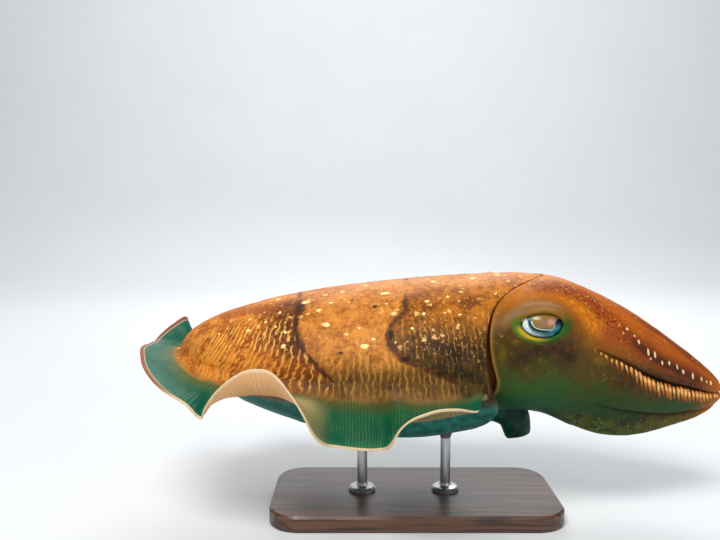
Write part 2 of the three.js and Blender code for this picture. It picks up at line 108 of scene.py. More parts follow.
def lattice_noise(points, scale, seed):
    """Smooth noise from -1 to 1 at points, on a seeded lattice with cells of the given size."""
    p = np.asarray(points, float) / scale
    base = np.floor(p).astype(np.int64)
    t = p - base
    t = t * t * t * (t * (t * 6 - 15) + 10)
    total = np.zeros(p.shape[:-1])
    for dx in (0, 1):
        for dy in (0, 1):
            for dz in (0, 1):
                key = (
                    (base[..., 0] + dx) * 73856093
                    ^ (base[..., 1] + dy) * 19349663
                    ^ (base[..., 2] + dz) * 83492791
                    ^ (seed * 2654435761)
                ) & 0xFFFFFFFF
                key = (key ^ (key >> 15)) * 2246822519 & 0xFFFFFFFF
                key = (key ^ (key >> 13)) * 3266489917 & 0xFFFFFFFF
                key = key ^ (key >> 16)
                value = (key & 0xFFFF) / 32767.5 - 1
                wx = t[..., 0] if dx else 1 - t[..., 0]
                wy = t[..., 1] if dy else 1 - t[..., 1]
                wz = t[..., 2] if dz else 1 - t[..., 2]
                total += value * wx * wy * wz
    return total


def line_distance(points, line):
    """Distance of points from a line of points, and how far along it the nearest place lies, 0 to 1."""
    line = np.asarray(line, float)
    best = np.full(points.shape[0], 1e9)
    place = np.zeros(points.shape[0])
    lengths = np.linalg.norm(np.diff(line, axis=0), axis=1)
    run = np.concatenate([[0], np.cumsum(lengths)])
    for i in range(len(line) - 1):
        a, b = line[i], line[i + 1]
        d = b - a
        t = np.clip(((points - a) @ d) / max(d @ d, 1e-12), 0, 1)
        distance = np.linalg.norm(points - (a + t[:, None] * d), axis=1)
        closer = distance < best
        best = np.where(closer, distance, best)
        place = np.where(closer, (run[i] + t * lengths[i]) / run[-1], place)
    return best, place


def smooth_line(line, count=40):
    """A line through a few points, drawn with more of them."""
    line = np.asarray(line, float)
    t = np.arange(len(line))
    s = np.linspace(0, len(line) - 1, count)
    return np.stack([through(list(zip(t, line[:, i])))(s) for i in range(line.shape[1])], -1)


def grid_normals(grid):
    """Unit normals of a grid of closed rows of points, pointing away from the middle of each row."""
    down = np.gradient(grid, axis=0)
    across = (np.roll(grid, -1, axis=1) - np.roll(grid, 1, axis=1)) / 2
    normal = np.cross(down, across)
    normal /= np.maximum(np.linalg.norm(normal, axis=-1, keepdims=True), 1e-9)
    outward = np.sum(normal * (grid - grid.mean(1, keepdims=True))) > 0
    return normal if outward else -normal


def grid_faces(rows, columns, wrap=True, start=0):
    """Quads of a grid whose points are numbered row by row."""
    r = np.arange(rows - 1)[:, None]
    c = np.arange(columns if wrap else columns - 1)[None, :]
    n = (c + 1) % columns
    quads = np.stack([r * columns + c, r * columns + n, (r + 1) * columns + n, (r + 1) * columns + c], -1)
    return quads.reshape(-1, 4) + start


def cap(pole, first, columns):
    """Triangles from a pole to a closed ring of points that are numbered from first."""
    c = np.arange(columns)
    return np.stack([np.full(columns, pole), first + c, first + (c + 1) % columns], -1)


def capped_grid(rows, columns, start=0):
    """Quads of a grid of rings and triangles to its two poles, which are numbered after its points."""
    pole = start + rows * columns
    caps = [cap(pole, start, columns), cap(pole + 1, pole - columns, columns)]
    return grid_faces(rows, columns, start=start), np.concatenate(caps)


def new_object(name, metres, faces):
    """A smooth-shaded object in the scene, with its faces turned outwards."""
    mesh = bpy.data.meshes.new(name)
    mesh.from_pydata(metres.tolist(), [], faces)
    mesh.polygons.foreach_set("use_smooth", [True] * len(mesh.polygons))
    turned = bmesh.new()
    turned.from_mesh(mesh)
    bmesh.ops.recalc_face_normals(turned, faces=turned.faces)
    turned.to_mesh(mesh)
    turned.free()
    obj = bpy.data.objects.new(name, mesh)
    bpy.context.scene.collection.objects.link(obj)
    return obj


def make_mesh(name, points, quads, triangles=(), fields=None, weld=0.0):
    """An object from points in the animal's millimetres, with fields of values at its points."""
    fields = fields or {}
    faces = quads.tolist() + np.asarray(triangles, int).reshape(-1, 3).tolist()
    if weld:
        keys = np.round(points / weld).astype(np.int64)
        _, first, back = np.unique(keys, axis=0, return_index=True, return_inverse=True)
        points = points[first]
        fields = {key: values[first] for key, values in fields.items()}
        # A face names each welded point once, and goes if fewer than three are left
        back = back.reshape(-1).tolist()
        faces = [list(dict.fromkeys(back[i] for i in face)) for face in faces]
        faces = [face for face in faces if len(face) > 2]
    obj = new_object(name, (points + np.array([-BASE_CENTRE_X, 0.0, AXIS_HEIGHT])) / 1000, faces)
    for key, values in fields.items():
        values = np.asarray(values, np.float32)
        kind, part = ("FLOAT", "value") if values.ndim == 1 else ("FLOAT_VECTOR", "vector")
        obj.data.attributes.new(key, kind, "POINT").data.foreach_set(part, values.reshape(-1))
    return obj


# Mantle
def mantle_share(x):
    return np.maximum(0.0, (np.asarray(x, float) - TAIL_X) / MANTLE_LENGTH)


def back_line(x):
    share = np.minimum(1.0, mantle_share(x))
    return TAIL_Z + BACK_RISE * (1 - (1 - share) ** 1.8) ** 0.45


def belly_line(x):
    share = mantle_share(x)
    to_deepest = np.minimum(1.0, share / DEEPEST)
    tuck = 134 * np.maximum(0.0, share - DEEPEST) ** 1.6
    return TAIL_Z - BELLY_DROP * (1 - (1 - to_deepest) ** 2) ** 0.9 + tuck


def mantle_half_width(x):
    share = mantle_share(x)
    to_widest = np.minimum(1.0, share / WIDEST)
    return MANTLE_HALF_WIDTH * (1 - (1 - to_widest) ** 2.2) ** 0.5 - 25 * np.maximum(0.0, share - WIDEST)


def side_line(x):
    share = mantle_share(x)
    return TAIL_Z - 16 * (1 - np.exp(-share / 0.08)) - 4 * np.maximum(0.0, share - 0.5)


def mantle_point(x, around, grow=0.0):
    """A point of the mantle's outside; around is in degrees from the back down the right side."""
    x, around, grow = np.broadcast_arrays(*(np.asarray(v, float) for v in (x, around, grow)))
    c, s = np.cos(np.radians(around)), np.sin(np.radians(around))
    side = side_line(x)
    reach = np.where(c > 0, back_line(x) - side, side - belly_line(x)) + grow
    return np.stack([x, -(mantle_half_width(x) + grow) * s, side + reach * c], -1)


def rim_x(around):
    """How far forward the mantle's rim reaches, with its pointed lobe over the head."""
    turn = np.minimum(around, 360 - around)
    lobe = LOBE_REACH * np.exp(-((turn / 31) ** 1.75))
    return RIM_X + lobe + 12 * bump(turn, 112, 26) - 8 * bump(turn, 180, 30)


# Fins
# Knots along each fin, from its front at 0 to the tail at 1, of the pitch of its sheet from root to
# margin and of how much the sheet curls on the way, both in degrees
FIN_WAVES = {
    "right": dict(
        chord=through([
            [0, -40], [0.04, -18], [0.08, -6], [0.13, -8], [0.18, -25], [0.215, -72], [0.25, -76],
            [0.335, -72], [0.355, -50], [0.38, -12], [0.42, 15], [0.46, 30], [0.5, 32], [0.54, 26],
            [0.595, 5], [0.64, -20], [0.67, -38], [0.7, -20], [0.78, -5], [0.87, 7], [0.91, 14], [1, 20],
        ]),
        turn=through([
            [0, 20], [0.04, 80], [0.1, 128], [0.15, 110], [0.2, 20], [0.25, -20], [0.33, -16], [0.38, 60],
            [0.44, 105], [0.56, 100], [0.62, 50], [0.67, -16], [0.74, 36], [0.85, 36], [1, 24],
        ]),
    ),
    "left": dict(
        chord=through([
            [0, -36], [0.1, -50], [0.25, 10], [0.4, -62], [0.55, 20], [0.7, -45], [0.78, -8], [0.85, 44],
            [0.9, 32], [0.95, 17], [1, 8],
        ]),
        turn=through([
            [0, 20], [0.1, -10], [0.25, 70], [0.4, -14], [0.55, 70], [0.7, -10], [0.87, 50], [1, 24],
        ]),
    ),
}
fin_reach = through([
    [0, 11], [0.04, 25], [0.1, 35], [0.2, 42], [0.25, 44], [0.34, 42], [0.5, 40], [0.68, 39], [0.78, 43],
    [0.87, 40], [1, 31],
])
# Rows and columns of the mantle's grid, and where the last rows of the fins lie
FIN_LAST = 0.999
FIN_ROWS = 262
TAIL_ROWS = 20
DORSAL_COLUMNS = 44
VENTRAL_COLUMNS = 78
# Where the two fins meet behind the tail
NOTCH = dict(reach=27.5, pitch=14.0, turn=20.0, width=17.0)
# Steps of the rim's roll: forward in millimetres, and inward as a share of the wall
RIM_ROLL = [(0.55, 0.12), (0.95, 0.3), (0.75, 0.48), (0.2, 0.6)]


def side_x(along):
    """Where a fin's root lies, from its front at 0 to the tail at 1."""
    return TAIL_X + 1 + (FIN_FRONT_X - TAIL_X - 1) * (1 - along) ** 1.55


def fin_frame(x):
    """The fin's root on the mantle's side and its outward heading, round to the tail's midline."""
    step = 0.6
    behind_x = np.maximum(x - step, TAIL_X + 0.05)
    ahead, behind = mantle_half_width(x + step), mantle_half_width(behind_x)
    outward = np.stack([-(ahead - behind), -(x + step - behind_x), np.zeros_like(x)], -1)
    outward[:, 1] *= np.clip(mantle_half_width(x) / mantle_half_width(TAIL_X + 1.0), 0, 1)
    outward /= np.linalg.norm(outward, axis=-1, keepdims=True)
    # Round the tail's end the heading turns evenly, from straight back to that of the first full row
    count = int(np.sum(x < TAIL_X + 0.999))
    swing = np.arctan2(-outward[count, 1], -outward[count, 0]) * np.arange(count) / count
    outward[:count] = np.stack([-np.cos(swing), -np.sin(swing), 0 * swing], -1)
    return np.stack([x, -mantle_half_width(x), side_line(x)], -1), outward


def fin_sheet(wave, along, x, across):
    """Middle of the fin's sheet, rows along by columns across."""
    base, outward = fin_frame(x)
    meet = smooth(NOTCH["width"], 0.0, mantle_half_width(x))
    turn = np.radians(lerp(wave["turn"](along), NOTCH["turn"], meet))
    turn = np.where(np.abs(turn) < 1e-3, 1e-3, turn)[:, None]
    start = np.radians(lerp(wave["chord"](along), NOTCH["pitch"], meet))[:, None] - turn / 2
    reach = lerp(fin_reach(along), NOTCH["reach"], meet)
    across = np.asarray(across)[None, :]
    chord = reach[:, None] * np.sin(turn * across / 2) / np.sin(turn / 2)
    pitch = start + turn * across / 2
    point = base[:, None, :] + outward[:, None, :] * (chord * np.cos(pitch))[..., None]
    point[..., 2] += chord * np.sin(pitch)
    return point


def fin_columns(wave, along, x, across, edge):
    """Top and bottom of the fin and its rounded margin, for the rows where it exists."""
    middle = fin_sheet(wave, along, x, across)
    out = np.gradient(middle, axis=1)
    normal = np.cross(np.gradient(middle, axis=0), out)
    normal[0] = normal[1] * np.array([1, 0, 1])
    normal /= np.maximum(np.linalg.norm(normal, axis=-1, keepdims=True), 1e-9)
    normal *= np.where(normal[:, :1, 2:3] < 0, -1, 1)
    out /= np.maximum(np.linalg.norm(out, axis=-1, keepdims=True), 1e-9)
    half = lerp(FIN_ROOT_THICKNESS, FIN_EDGE_THICKNESS, across**0.6)[None, :, None] / 2
    top = middle + normal * half
    bottom = middle - normal * half
    tip = middle[:, -1:] + half[:, -1:] * (
        out[:, -1:] * np.cos(edge)[None, :, None] + normal[:, -1:] * np.sin(edge)[None, :, None]
    )
    return top, tip, bottom


def build_mantle():
    """The mantle and both fins as one grid, and fields that tell its parts from one another."""
    round_tail = np.linspace(1, 0, TAIL_ROWS + 1)[:-1]
    along = np.concatenate([np.full(TAIL_ROWS, FIN_LAST), np.linspace(FIN_LAST, 0, FIN_ROWS)])
    fin_x = side_x(along)
    fin_x[:TAIL_ROWS] = TAIL_X + (1 - round_tail) ** 2
    front_x = [FIN_FRONT_X + 1, FIN_FRONT_X + 2]
    root_x = np.append(fin_x, front_x)
    forward = ((root_x - TAIL_X) / (rim_x(90.0) - TAIL_X))[:, None]
    forward[-1] = 1.0
    # One fin's columns: out along its upper face, round its margin and back along its lower face
    across = np.concatenate([np.linspace(0, 0.22, 10), np.linspace(0.22, 0.9, 15)[1:], [0.94, 0.97, 1.0]])
    edge = np.radians([50.0, 0.0, -50.0])
    fin_share = np.concatenate([across, np.ones(len(edge)), across[::-1]])
    fin_face = np.where(np.arange(len(fin_share)) <= len(across), 1, -1)
    # Half angles, above and below, of the slot in the mantle from which the fin grows
    x_root = np.minimum(root_x, FIN_FRONT_X)
    middle = side_line(x_root)
    top_slot, low_slot = (
        np.degrees(np.clip(half / np.maximum(reach, 1), 0, 0.65))[:, None]
        for half, reach in ((8.0, back_line(x_root) - middle), (7.0, middle - belly_line(x_root)))
    )
    from_middle = np.concatenate([across - 1, np.zeros(len(edge)), (1 - across)[::-1]])
    slot_angle = 90 + from_middle * np.where(from_middle < 0, top_slot, low_slot)
    dorsal_angle = np.linspace(0, 1, DORSAL_COLUMNS + 1) * (90 - top_slot)
    ventral_angle = 90 + low_slot + np.linspace(0, 1, VENTRAL_COLUMNS + 2) * (180 - 2 * low_slot)
    angle = np.concatenate([
        dorsal_angle[:, :-1], slot_angle, ventral_angle[:, 1:-1], 360 - slot_angle[:, ::-1],
        360 - dorsal_angle[:, -2:0:-1],
    ], 1)
    surface = mantle_point(lerp(TAIL_X, rim_x(angle), forward), angle)
    slot = mantle_point(lerp(TAIL_X, rim_x(slot_angle), forward), slot_angle)
    fade = smooth(0.0, 0.035, np.append(along, [0] * len(front_x)))[:, None]
    weight = (smooth(0.0, 0.2, fin_share) * fade)[..., None]
    first_column = {"right": DORSAL_COLUMNS, "left": DORSAL_COLUMNS + len(fin_share) + VENTRAL_COLUMNS}
    # The face is 1 above a fin, -1 below it and 0 on the mantle
    share, face = np.zeros(angle.shape), np.zeros(angle.shape)
    for side, sign in SIDES.items():
        top, tip, bottom = fin_columns(FIN_WAVES[side], along, fin_x, across, edge)
        sheet = np.concatenate([top, tip, bottom[:, ::-1]], 1)
        sheet = np.concatenate([sheet, np.repeat(sheet[-1:], len(front_x), 0)])
        fin = lerp(slot, sheet, weight) * np.array([1, -sign, 1])
        columns = slice(first_column[side], first_column[side] + len(fin_share))
        surface[:, columns] = fin[:, ::-sign]
        share[:, columns] = (fin_share * fade)[:, ::-sign]
        face[:, columns] = fin_face[::-sign]
    # The rolled rim and the hollow round the neck
    rim = rim_x(angle[-1])
    inner = [mantle_point(rim + ahead, angle[-1], -WALL * inward) for ahead, inward in RIM_ROLL]
    for back in (0.04, 0.15, 0.4, 0.8, 1.0):
        inner.append(mantle_point(lerp(rim, BULKHEAD_X, back), angle[-1], -WALL * (0.65 + 0.35 * back)))
    below = ((0, len(inner)), (0, 0))
    every_column = np.ones(angle.shape[1])
    data = dict(
        share=np.pad(share, below),
        face=np.pad(face, below),
        angle=np.pad(angle, below, "edge"),
        along=np.pad(along, (0, len(front_x) + len(inner)))[:, None] * every_column,
        hollow=np.append(np.zeros(len(angle)), np.linspace(0.2, 1, len(inner)))[:, None] * every_column,
    )
    return np.concatenate([surface, inner]), data


# Markings of the mantle
# Places as x in millimetres and degrees round from the back, then length and height in millimetres
SADDLE_REAR = [
    (-52.6, 0), (-48.8, 26.7), (-51.1, 41.5), (-51.1, 51.8), (-47.3, 60.8), (-39.8, 69.1), (-29.4, 78.5),
    (-19.6, 85.1),
]
SADDLE_FRONT = [
    (40.3, 0), (37.3, 32.9), (35.1, 42.3), (24.6, 51.0), (22.4, 60.0), (27.6, 67.0), (34.3, 71.9),
    (46.3, 76.0), (59.1, 78.9), (71.1, 83.0), (78.6, 88.0),
]
DARK_SPOTS = [
    (-15.1, 67.4, 7.5, 4.6), (11.9, 36.6, 7.5, 4), (49.3, 47.3, 8, 3.6), (77.1, 56.3, 4, 4),
    (-6.9, 27.9, 5, 3), (35.1, 71.1, 8, 6), (62.1, 79.3, 11, 6), (78.6, 87.6, 8, 5), (24.6, 56.3, 5, 10),
]
PALE_DASHES = [
    (20.9, 24.2, 14, 4), (-45.1, 23.4, 14, 4), (-15.1, 16.0, 8, 3), (-33.8, 34.9, 8, 4), (-23.4, 28.3, 6, 3),
    (-27.1, 47.7, 12, 6), (3.6, 63.3, 12, 6), (27.6, 43.1, 14, 4), (12.6, 52.6, 6, 3), (-10.6, 55.5, 5, 3),
    (54.6, 35.3, 8, 4), (82.3, 27.9, 10, 3), (80.1, 37.0, 6, 3), (71.1, 32.0, 5, 4), (50.8, 44.4, 5, 5),
    (68.1, 44.8, 7, 3), (79.3, 46.0, 5, 3), (41.1, 53.4, 5, 4), (27.6, 62.1, 5, 4), (50.1, 60.4, 9, 5),
    (44.1, 37.8, 4, 3), (10.4, 59.2, 6, 4), (-0.9, 51.8, 4, 4), (5.1, 37.0, 5, 3), (21.6, 34.9, 6, 3),
    (-91.6, 45.6, 8, 4), (-60.8, 61.2, 7, 5), (-60.1, 50.5, 4, 4), (-68.3, 45.2, 4, 3), (-77.3, 39.4, 4, 4),
    (-66.1, 31.6, 4, 4), (-79.6, 27.9, 4, 2), (-57.1, 38.2, 4, 3), (-91.6, 33.7, 6, 2), (-117.0, 44.4, 3, 3),
    (62.0, 14.0, 9, 3), (5.0, 9.0, 8, 3), (-70.0, 10.0, 7, 3), (96.0, 12.0, 8, 3), (118.0, 6.0, 7, 3),
]


def mark_field(points, marks, place, view=12.0):
    """1 in the middle of the nearest mark, 0 at its edge and less beyond; nearly alike on both sides."""
    best = np.full(len(points), -3.0)
    for side in (1, -1):
        for i, (x, around, length, height) in enumerate(marks):
            shift = 0.0 if side > 0 else 3.0 * math.sin(2.3 * i)
            turn = around if side > 0 else max(around + 3.0 * math.cos(1.7 * i), 1.0)
            centre = place(x + shift, turn) * np.array([1, side, 1])
            tall = height * 0.4 / max(math.sin(math.radians(min(turn + view, 90))), 0.3)
            off = points - centre
            far = np.hypot(off[:, 0] / (length * 0.4), np.hypot(off[:, 1], off[:, 2]) / tall)
            best = np.maximum(best, 1 - far)
    return best


def line_x(line):
    """Where a dark saddle line lies, as x by degrees round from the back."""
    return through([[around, x] for x, around in line])


SADDLE_WIDTH = 2.6
# Spacing of the wavy lines and how far they lean back for each millimetre down from the back, both by x
LINE_PITCH = through([
    [-157, 2.1], [-135, 2.5], [-105, 3.1], [-70, 3.9], [-35, 4.6], [10, 4.8], [40, 4.3], [90, 4.3],
])
LINE_LEAN = through([
    [-157, 1.28], [-140, 1.0], [-115, 0.64], [-85, 0.4], [-50, 0.128], [-20, 0.0], [60, -0.08], [150, -0.08],
])
LINE_STEPS = np.linspace(-200, 170, 1500)


def line_phase(x, drop):
    """Phase of the wavy lines: upright on the flank, fanned out and closer together at the tail."""
    rate = 0.5 / LINE_PITCH(LINE_STEPS)
    run = np.append(0, np.cumsum((rate[1:] + rate[:-1]) * np.diff(LINE_STEPS)))
    return np.interp(x + LINE_LEAN(x) * drop, LINE_STEPS, run)


def flank_depth(x):
    """From the back down to the root of the fin."""
    return np.maximum(back_line(x) - side_line(x), 0)


def mantle_marks(grid, data):
    """Fields of the markings at the points of the mantle and fins."""
    flat = grid.reshape(-1, 3)
    x, _, z = flat.T
    share, face, angle, along, hollow = (values.reshape(-1) for values in data.values())
    around = np.minimum(angle, 360 - angle)
    on_mantle = share < 0.01
    drop = np.where(on_mantle, np.maximum(back_line(x) - z, 0), flank_depth(x) + share * 40)
    # On a fin the lines run from root to margin, spaced by the fin's own length
    x_root = side_x(along)
    phase = lerp(line_phase(x, drop), line_phase(x_root, flank_depth(x_root)), smooth(0.0, 0.06, share))
    dark = np.full(len(flat), -3.0)
    for line in (SADDLE_REAR, SADDLE_FRONT):
        knots = smooth_line([mantle_point(px, turn) for px, turn in line], 48)
        for side in (1, -1):
            distance, run = line_distance(flat, knots * np.array([1, side, 1]))
            swell = 0.5 + 0.7 * np.sin(np.pi * np.clip(run * 1.05, 0, 1)) + 0.35 * np.sin(run * 23)
            dark = np.maximum(dark, 1 - distance / (SADDLE_WIDTH * swell))
    behind = line_x(SADDLE_REAR)(around) - x
    # The dark zone just behind the rear saddle line, on the upper flank
    zone = bump(np.maximum(behind, 0), 0, 24.0) * smooth(-2.5, 1.5, behind)
    zone *= smooth(92, 56, around) * smooth(10, 28, around)
    return dict(
        share=share,
        face=face,
        along=along,
        hollow=hollow,
        around=around,
        phase=phase,
        dark=dark,
        zone=zone,
        spots=mark_field(flat, DARK_SPOTS, mantle_point),
        dashes=mark_field(flat, PALE_DASHES, mantle_point),
        behind=smooth(-1.0, 2.0, behind),
        ahead=smooth(-3, 5, x - line_x(SADDLE_FRONT)(around)) * smooth(12, 30, around),
        tan_side=smooth(0.33, 0.4, along) * smooth(0.56, 0.48, along),
    )


LOBE_KNOB = dict(x=113, height=1.7, length=3.4, width=4.5)


def finish_mantle():
    """The skin of the mantle and fins, with its relief, and closed at the bulkhead."""
    grid, data = build_mantle()
    rows, columns = grid.shape[:2]
    x, y, z = np.moveaxis(grid, -1, 0)
    # Slack muscle and low grains on the mantle, none in the hollow or at the fin's edge
    on_body = (data["hollow"] <= 0) * (1 - smooth(0.0, 0.3, data["share"]))
    on_body = on_body * smooth(TAIL_X + 0.5, TAIL_X + 12, x)
    relief = 0.28 * lattice_noise(grid, 15.0, 3) + 0.16 * lattice_noise(grid, 6.0, 4)
    knob = bump(x, LOBE_KNOB["x"], LOBE_KNOB["length"]) * bump(y, 0, LOBE_KNOB["width"])
    relief += LOBE_KNOB["height"] * knob * (z > 40)
    grid = grid + grid_normals(grid) * (relief * on_body)[..., None]
    # On the back the front edge thins out and lies down on the head
    turn = np.minimum(data["angle"], 360 - data["angle"])
    to_rim = np.where(data["hollow"] > 0, 0.0, rim_x(turn) - grid[..., 0])
    grid[..., 2] -= 1.9 * smooth(20, 0, to_rim) * smooth(44, 12, turn)
    points = np.concatenate([grid.reshape(-1, 3), [[BULKHEAD_X, 0, 0]]])
    pole = rows * columns
    fields = {key: np.append(values, values[-1]) for key, values in mantle_marks(grid, data).items()}
    end = cap(pole, pole - columns, columns)
    return make_mesh("skin_mantle", points, grid_faces(rows, columns), end, fields, weld=2e-3)


skin_mantle = finish_mantle()


# Head and arms
crown_top = through([
    [80, 57], [105, 64.5], [130, 68], [158, 71], [178, 67.5], [208, 55],
    [236, 40], [265, 20.5], [293, -1], [312, -17], [ARM_TIP_X, -25],
])
crown_bottom = through([
    [80, -42], [110, -44], [140, -44], [160, -48.5], [182, -56.5], [208, -62],
    [229, -63.5], [250, -61.5], [290, -53], [308, -46.5], [ARM_TIP_X, -37],
])
crown_half_width = through([
    [80, 70], [100, 73], [120, 70.5], [145, 66], [165, 60], [192, 52],
    [215, 47], [240, 40.5], [265, 32], [290, 21.5], [308, 12], [ARM_TIP_X, 4],
])
crown_squareness = through([[80, 2.2], [120, 2.4], [150, 2.5], [200, 2.2], [ARM_TIP_X, 2]])
keel_share = through([[150, 0], [175, 0.5], [205, 1], [ARM_TIP_X, 1]])
neck_share = through([[80, 0.86], [104, 0.93], [120, 0.985], [135, 1], [200, 1]])
arm_rounding = through([
    [150, 0], [180, 0.006], [200, 0.022], [225, 0.06], [255, 0.105], [300, 0.17], [ARM_TIP_X, 0.2],
])
ARM_ENDS = [316.0, 320.0, 319.0, 315.0]
ARMS = range(1, 5)
# Degrees round from the top at which each arm ends and the next begins, by x
ARM_BOUNDS = [through(knots) for knots in (
    [[190, 0], [ARM_TIP_X, 0]],
    [[190, 40], [ARM_TIP_X, 40]],
    [[190, 79], [215, 81], [240, 87], [260, 90], [290, 92], [ARM_TIP_X, 98]],
    [[190, 121], [215, 125], [245, 131], [262, 137], [290, 141], [ARM_TIP_X, 152]],
    [[190, 180], [ARM_TIP_X, 180]],
)]


def crown_section(x):
    """Middle height and half height of the crown, which is the head and the closed arms in one form."""
    return (crown_top(x) + crown_bottom(x)) / 2, (crown_top(x) - crown_bottom(x)) / 2


def crown_radius(x):
    return (crown_half_width(x) + crown_section(x)[1]) / 2


def crown_point(x, around, share=1.0):
    """A point at a share of the crown's radius; around is in degrees from the top down the right side."""
    x, around, share = np.broadcast_arrays(*(np.asarray(v, float) for v in (x, around, share)))
    turn = np.where(around <= 180, around, 360 - around)
    keel = keel_share(x) * (0.14 * bump(turn, 150, 10) - 0.22 * np.clip((turn - 156) / 24, 0, 1) ** 1.5)
    reach = share * (1 + keel)
    power = 2 / crown_squareness(x)
    middle, half = crown_section(x)
    s = signed_power(np.sin(np.radians(around)), power)
    c = signed_power(np.cos(np.radians(around)), power)
    return np.stack([x, -crown_half_width(x) * reach * s, middle + half * reach * c], -1)


def head_side(x, z):
    """Half width of the plain head at a place of its side view."""
    neck = neck_share(x)
    middle, half = crown_section(x)
    power = crown_squareness(x)
    level = np.clip(np.abs(z - middle) / (half * neck), 0, 1)
    return crown_half_width(x) * neck * (1 - level**power) ** (1 / power)


def eye_side(x, z):
    """Half width of the eyeball at a place of its side view, or of its rim beyond it."""
    inside = 1 - ((x - EYE["x"]) / EYE["rx"]) ** 2 - ((z - EYE["z"]) / EYE["rz"]) ** 2
    return EYE["y"] + EYE["ry"] * np.sqrt(np.clip(inside, 0.04, 1))


def lid_place(x, z):
    """How far a place lies from the eye's middle, 1 at the lids' edge, and its angle."""
    u, v = (x - EYE["x"]) / LID["length"], (z - EYE["z"]) / LID["height"]
    return np.hypot(u, v), np.arctan2(v, u)


def round_eye(far, turn):
    """The place in the side view that lies so far from the eye's middle, at an angle."""
    return EYE["x"] + LID["length"] * far * np.cos(turn), EYE["z"] + LID["height"] * far * np.sin(turn)


def lid_crest(turn):
    """Half width at the lids' crest, for each angle round the eye."""
    upper, lower = np.clip(np.sin(turn), 0, 1), np.clip(-np.sin(turn), 0, 1)
    return eye_side(*round_eye(1.0, turn)) + 2.3 + 1.1 * upper**0.8 + 0.7 * lower


def face_side(x, z):
    """Half width of the head with its brow, lids and the folds round them."""
    far, turn = lid_place(x, z)
    blend = smooth(1.08, LID["reach"], far)
    dome = 2.4 * bump(np.maximum(far, 1.0), 1.0, 1.3) * smooth(66, 50, z)
    value = lerp(lid_crest(turn), head_side(x, z), blend) + dome * blend
    upper = np.clip(np.sin(turn), 0, 1)
    value += (0.7 + 0.5 * upper) * bump(far, 1.2, 0.1) * (1 - 0.35 * np.cos(turn) ** 2)
    value -= 0.7 * bump(far, 1.43, 0.09) + 0.35 * bump(far, 1.72, 0.09) * upper
    return value


def arm_share(share, x, pressed=0.0):
    """Radius of an arm's outer face across its width, as a share of the crown's.

    pressed is 1 where the arm's edge at share 1 lies close against its fellow, and -1 for its edge
    at share 0: the first and second arms are pressed together, and the groove there is shallow.
    """
    edge = np.abs(2 * share - 1)
    shallow = 1 - 0.62 * (((pressed > 0) & (share > 0.5)) | ((pressed < 0) & (share < 0.5)))
    return 1 - arm_rounding(x) * (0.75 * edge**5 + 0.25 * edge**14) * shallow


# How each arm lies against its fellows, for arm_share
PRESSED = {1: 1.0, 2: -1.0, 3: 0.0, 4: 0.0}


def oral_share(share):
    """Radius of an arm's inner face across its width, as a share of the crown's."""
    return ORAL_SHARE * (1 + 0.12 * (2 * share - 1) ** 2)


def head_relief(points, normal):
    """Low uneven relief of the skin of the head and arms, calm beside the lids."""
    x, _, z = np.moveaxis(points, -1, 0)
    relief = 0.3 * lattice_noise(points, 17.0, 11) + 0.16 * lattice_noise(points, 6.5, 12)
    calm = np.where(z > -5, smooth(1.0, 2.2, lid_place(x, z)[0]), 1.0)
    return points + normal * (relief * calm)[..., None]


# Places as x in millimetres and degrees round from the top, then length and height in millimetres
HEAD_DASHES = [
    (231.3, 58.5, 3.51, 5.75), (239.4, 64.6, 3.24, 9.2), (245.9, 64.6, 2.97, 8.05),
    (241.5, 70.5, 3.51, 2.99), (252.4, 69.9, 2.97, 6.325), (259.4, 66.8, 3.24, 5.29),
    (267.5, 67.3, 2.97, 7.36), (273.4, 69.9, 4.32, 5.75), (283.6, 69.9, 2.97, 7.36),
    (293.3, 68.2, 3.24, 5.75), (298.8, 69.5, 2.7, 4.6), (303.6, 67.7, 4.05, 5.29),
    (228.0, 54.0, 3.51, 3.45), (222.0, 50.0, 4.05, 3.45),
]
GOLD_SPOTS = [(186, 76, 16, 10), (174, 70, 12, 12), (195, 86, 16, 8), (112, 88, 8, 14), (121, 80, 10, 5)]
# Lines through places as x in millimetres and degrees round from the top
DASH_ROW = [(222.0, 58.0), (239.4, 66.0), (259.4, 70.0), (283.6, 72.0), (309.0, 71.0)]
RED_BAND = [(205, 14), (216, 20), (232, 24), (250, 26), (270, 28), (290, 30), (312, 34)]
BROW_NET = [(150.0, 27.0), (172.0, 30.0), (190.0, 36.0), (203.0, 46.0), (214.0, 56.0)]
AMBER_PATCH = [(172.0, 44.0), (184.0, 51.0), (192.0, 58.0)]
EYE_BLOT = [(128.0, 90.0), (145.0, 87.0), (168.0, 89.0)]
# Gap between the mantle's rim and the edge of the head behind it, by degrees round from the top
rim_gap = through([[0, 0.6], [30, 2.4], [58, 5.6], [74, 4.8], [86, 2.8], [98, 1.4], [130, 1.0], [180, 1.0]])


def head_place(x, around):
    return crown_point(x, around, neck_share(x))


